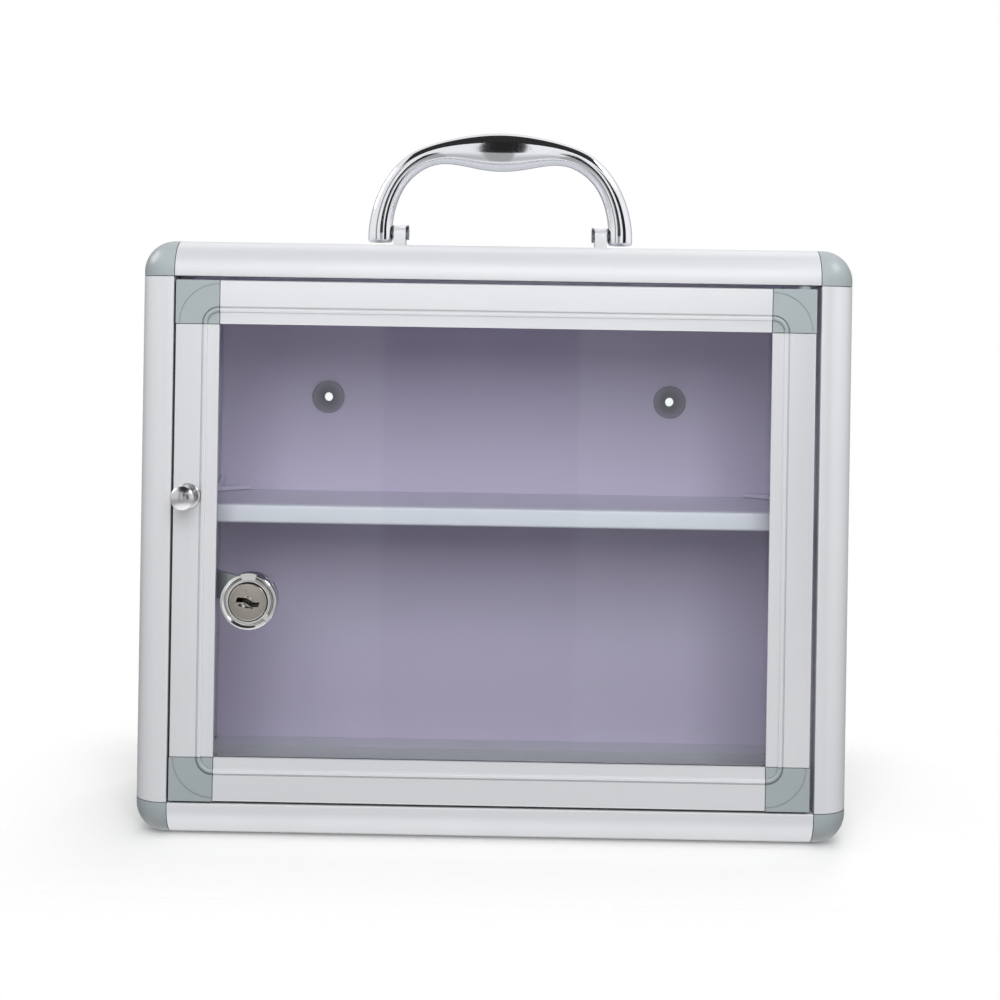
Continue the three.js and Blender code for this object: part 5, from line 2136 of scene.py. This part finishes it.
@dataclass(frozen=True)
class Card:
    """A studio card that is seen in glossy surfaces only."""

    name: str
    glow: float
    corners: tuple[Point3, ...]
    cuts: int = 3

    def build(self) -> None:
        """Makes the card as a sheet with an even glow."""
        bm = bmesh.new()
        bm.faces.new([bm.verts.new(corner) for corner in self.corners])
        bmesh.ops.subdivide_edges(bm, edges=bm.edges, cuts=self.cuts, use_grid_fill=True)
        card = as_object(self.name, bm)
        material = bpy.data.materials.new(self.name)
        graph = Graph(material)
        glow = (self.glow, self.glow, self.glow, 1.0)
        graph.finish(graph.node("ShaderNodeEmission", None, {"Color": glow, "Strength": 1.0}).out())
        card.data.materials.append(material)
        card.visible_camera = card.visible_diffuse = card.visible_shadow = False
        card.visible_transmission = False
        card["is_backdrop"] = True


@dataclass
class Studio:
    """White surroundings, soft lamps, a floor that fades out, and the camera."""

    eye: Point3 = (0.0087, -0.6965, 0.2121)
    lens: float = 55.65
    sensor: float = 36.0
    yaw: float = 0.44
    roll: float = 0.91
    shift: Point2 = (-0.0059, -0.1643)
    clip: Point2 = (0.01, 30.0)
    diffuse: float = 0.3
    least: float = 0.52
    from_sky: float = 0.42
    from_ground: float = 0.95
    from_right: float = 0.08
    dim_behind: float = 0.45
    floor_start: float = -0.02
    floor_reach: float = 0.09
    floor_drop: float = 0.0002
    floor_cuts: int = 15
    fibre_scale: float = 900.0
    lamps: tuple[Lamp, ...] = (
        Lamp("key_lamp", (0.02, -0.8, 0.53), 0.5, 5.4),
        Lamp("fill_lamp", (0.95, -1.0, 0.55), 0.9, 1.4),
        Lamp("top_lamp", (0.0, -0.45, 1.15), 1.0, 4.8),
        Lamp("back_lamp", (0.3, 1.3, 0.9), 1.0, 9.0),
    )
    cards: tuple[Card, ...] = (
        Card(
            "card_stand", 0.4,
            ((-0.12, -0.9, -0.3), (0.069, -0.9, -0.3), (0.069, -0.9, 0.3), (-0.12, -0.9, 0.3)),
        ),
        Card(
            "card_tall", 0.02,
            ((-0.128, -0.89, 0.3), (0.112, -0.89, 0.3), (0.15, -0.89, 0.95), (-0.14, -0.89, 0.95)),
        ),
        Card(
            "card_ceiling", 0.03,
            ((-0.7, -1.0, 0.92), (0.7, -1.0, 0.92), (0.7, 0.25, 1.4), (-0.7, 0.25, 1.4)),
        ),
        Card(
            "card_left", 0.3,
            ((-0.62, -1.1, -0.3), (-0.4, -1.1, -0.3), (-0.4, -1.1, 0.8), (-0.62, -1.1, 0.8)),
        ),
        Card(
            "card_right", 0.02,
            ((0.3, -1.1, -0.1), (0.85, -1.1, -0.1), (0.85, -1.1, 0.7), (0.3, -1.1, 0.7)),
        ),
        Card(
            "glow_left", 5.5,
            ((-1.2, -0.2, 0.65), (-1.2, 0.45, 0.65), (-1.0, 0.45, 1.15), (-1.0, -0.2, 1.15)),
        ),
        Card(
            "glow_right", 6.0,
            ((1.0, -0.7, 0.9), (1.0, -0.1, 0.9), (0.75, -0.1, 1.35), (0.75, -0.7, 1.35)),
        ),
    )

    def _world(self) -> None:
        """White for the camera, and a soft gradient for what surfaces mirror."""
        world = bpy.data.worlds.new("surroundings")
        bpy.context.scene.world = world
        graph = Graph(world)
        rays = graph.node("ShaderNodeLightPath")
        seen = rays.out("Is Camera Ray") + rays.out("Is Transmission Ray")
        mirrored = rays.out("Is Glossy Ray")
        across, away, height = graph.parts(graph.node("ShaderNodeTexCoord").out("Generated"))
        behind = away.step(0.1, 0.7) * (1.0 - abs(height).step(0.3, 0.7)) * self.dim_behind
        rise = height.step(-0.35, 0.06) * self.from_sky
        rise += (1.0 - height.step(-0.85, -0.45)) * self.from_ground
        gradient = (rise + across.step(-0.4, 0.4) * self.from_right + self.least) * (1.0 - behind)
        strength = seen.clamped() + (1.0 - seen.clamped()) * (
            mirrored * gradient + (1.0 - mirrored) * self.diffuse
        )
        shader = graph.node("ShaderNodeBackground", None, {"Color": WHITE, "Strength": strength}).out()
        graph.finish(shader, "ShaderNodeOutputWorld")

    def _floor(self, half: Vector) -> None:
        """A pale floor that fades out, so that only the shadow near the box shows.

        Args:
            half: half the box's width and depth.
        """
        edge = max(half) + self.floor_reach
        bm = bmesh.new()
        bm.faces.new([bm.verts.new((x, y, 0.0)) for x, y in rectangle(-edge, -edge, edge, edge)])
        bmesh.ops.subdivide_edges(bm, edges=bm.edges, cuts=self.floor_cuts, use_grid_fill=True)
        floor = as_object("studio_floor", bm)
        floor.location.z = -self.floor_drop
        material = bpy.data.materials.new("floor_paper")
        graph = Graph(material)
        place = graph.place()
        x, y, _ = graph.parts(place)
        past_x = (abs(x) - half.x) * (abs(x) > half.x)
        past_y = (abs(y) - half.y) * (abs(y) > half.y)
        distance = (past_x * past_x + past_y * past_y) ** 0.5
        fibre = graph.noise(place, self.fibre_scale)
        paper = graph.blend(fibre * 0.2, tone(252, 252, 252), tone(248, 248, 249))
        cover = graph.node("ShaderNodeBsdfDiffuse", None, {"Color": paper}).out()
        clear = graph.node("ShaderNodeBsdfTransparent").out()
        fade = distance.step(self.floor_start, self.floor_reach)
        graph.finish(graph.mix(fade, cover, clear))
        floor.data.materials.append(material)
        floor.visible_glossy = floor.visible_diffuse = False
        floor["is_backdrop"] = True

    def _camera(self) -> None:
        """The camera at its fitted place, slightly rolled."""
        data = bpy.data.cameras.new("photo_camera")
        data.lens, data.sensor_width = self.lens, self.sensor
        data.shift_x, data.shift_y = self.shift
        data.clip_start, data.clip_end = self.clip
        camera = bpy.data.objects.new("photo_camera", data)
        level = Matrix.Rotation(math.radians(-self.roll), 4, "Y") @ Matrix.Rotation(math.pi / 2, 4, "X")
        turned = Matrix.Rotation(math.radians(self.yaw), 4, "Z") @ level
        camera.matrix_world = Matrix.Translation(self.eye) @ turned
        bpy.context.scene.collection.objects.link(camera)
        bpy.context.scene.camera = camera

    def build(self, aim: Vector, half: Vector) -> int:
        """Sets up everything round the box.

        Args:
            aim: the point that the lamps look at.
            half: half the box's width and depth.

        Returns:
            How many lamps and cards were made.
        """
        bpy.context.scene.view_settings.view_transform = "Standard"
        self._world()
        self._floor(half)
        for lamp in self.lamps:
            lamp.build(aim)
        for card in self.cards:
            card.build()
        self._camera()
        return len(self.lamps) + len(self.cards)


def main() -> None:
    """Builds the box round the frame, then the studio."""
    logging.basicConfig(level=logging.INFO, format="%(name)s %(message)s")
    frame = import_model()
    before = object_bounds()
    nodes = frame["nodes"]
    LOG.info("finishes: %d", len([coat.material() for coat in Coat]))
    space = CaseSpace.measured()
    LOG.info("case %.1f x %.1f x %.1f mm", space.width, space.depth, space.height)
    assemblies = (
        CaseProfiles(space),
        BallCorners(space),
        Fittings(space, nodes),
        DoorLeaf(LeafSpace.measured(space)),
        Glazing(nodes),
        PullKnob(space),
        CamLock(space, nodes),
        Handle(nodes),
        Screws(space),
    )
    for assembly in assemblies:
        LOG.info("%s: %d pieces", type(assembly).__name__, assembly.build())
    middle, half = (before[0] + before[1]) / 2, (before[1] - before[0]).xy / 2
    LOG.info("Studio: %d lamps and cards", Studio().build(middle, half))


if __name__ == "__main__":
    main()
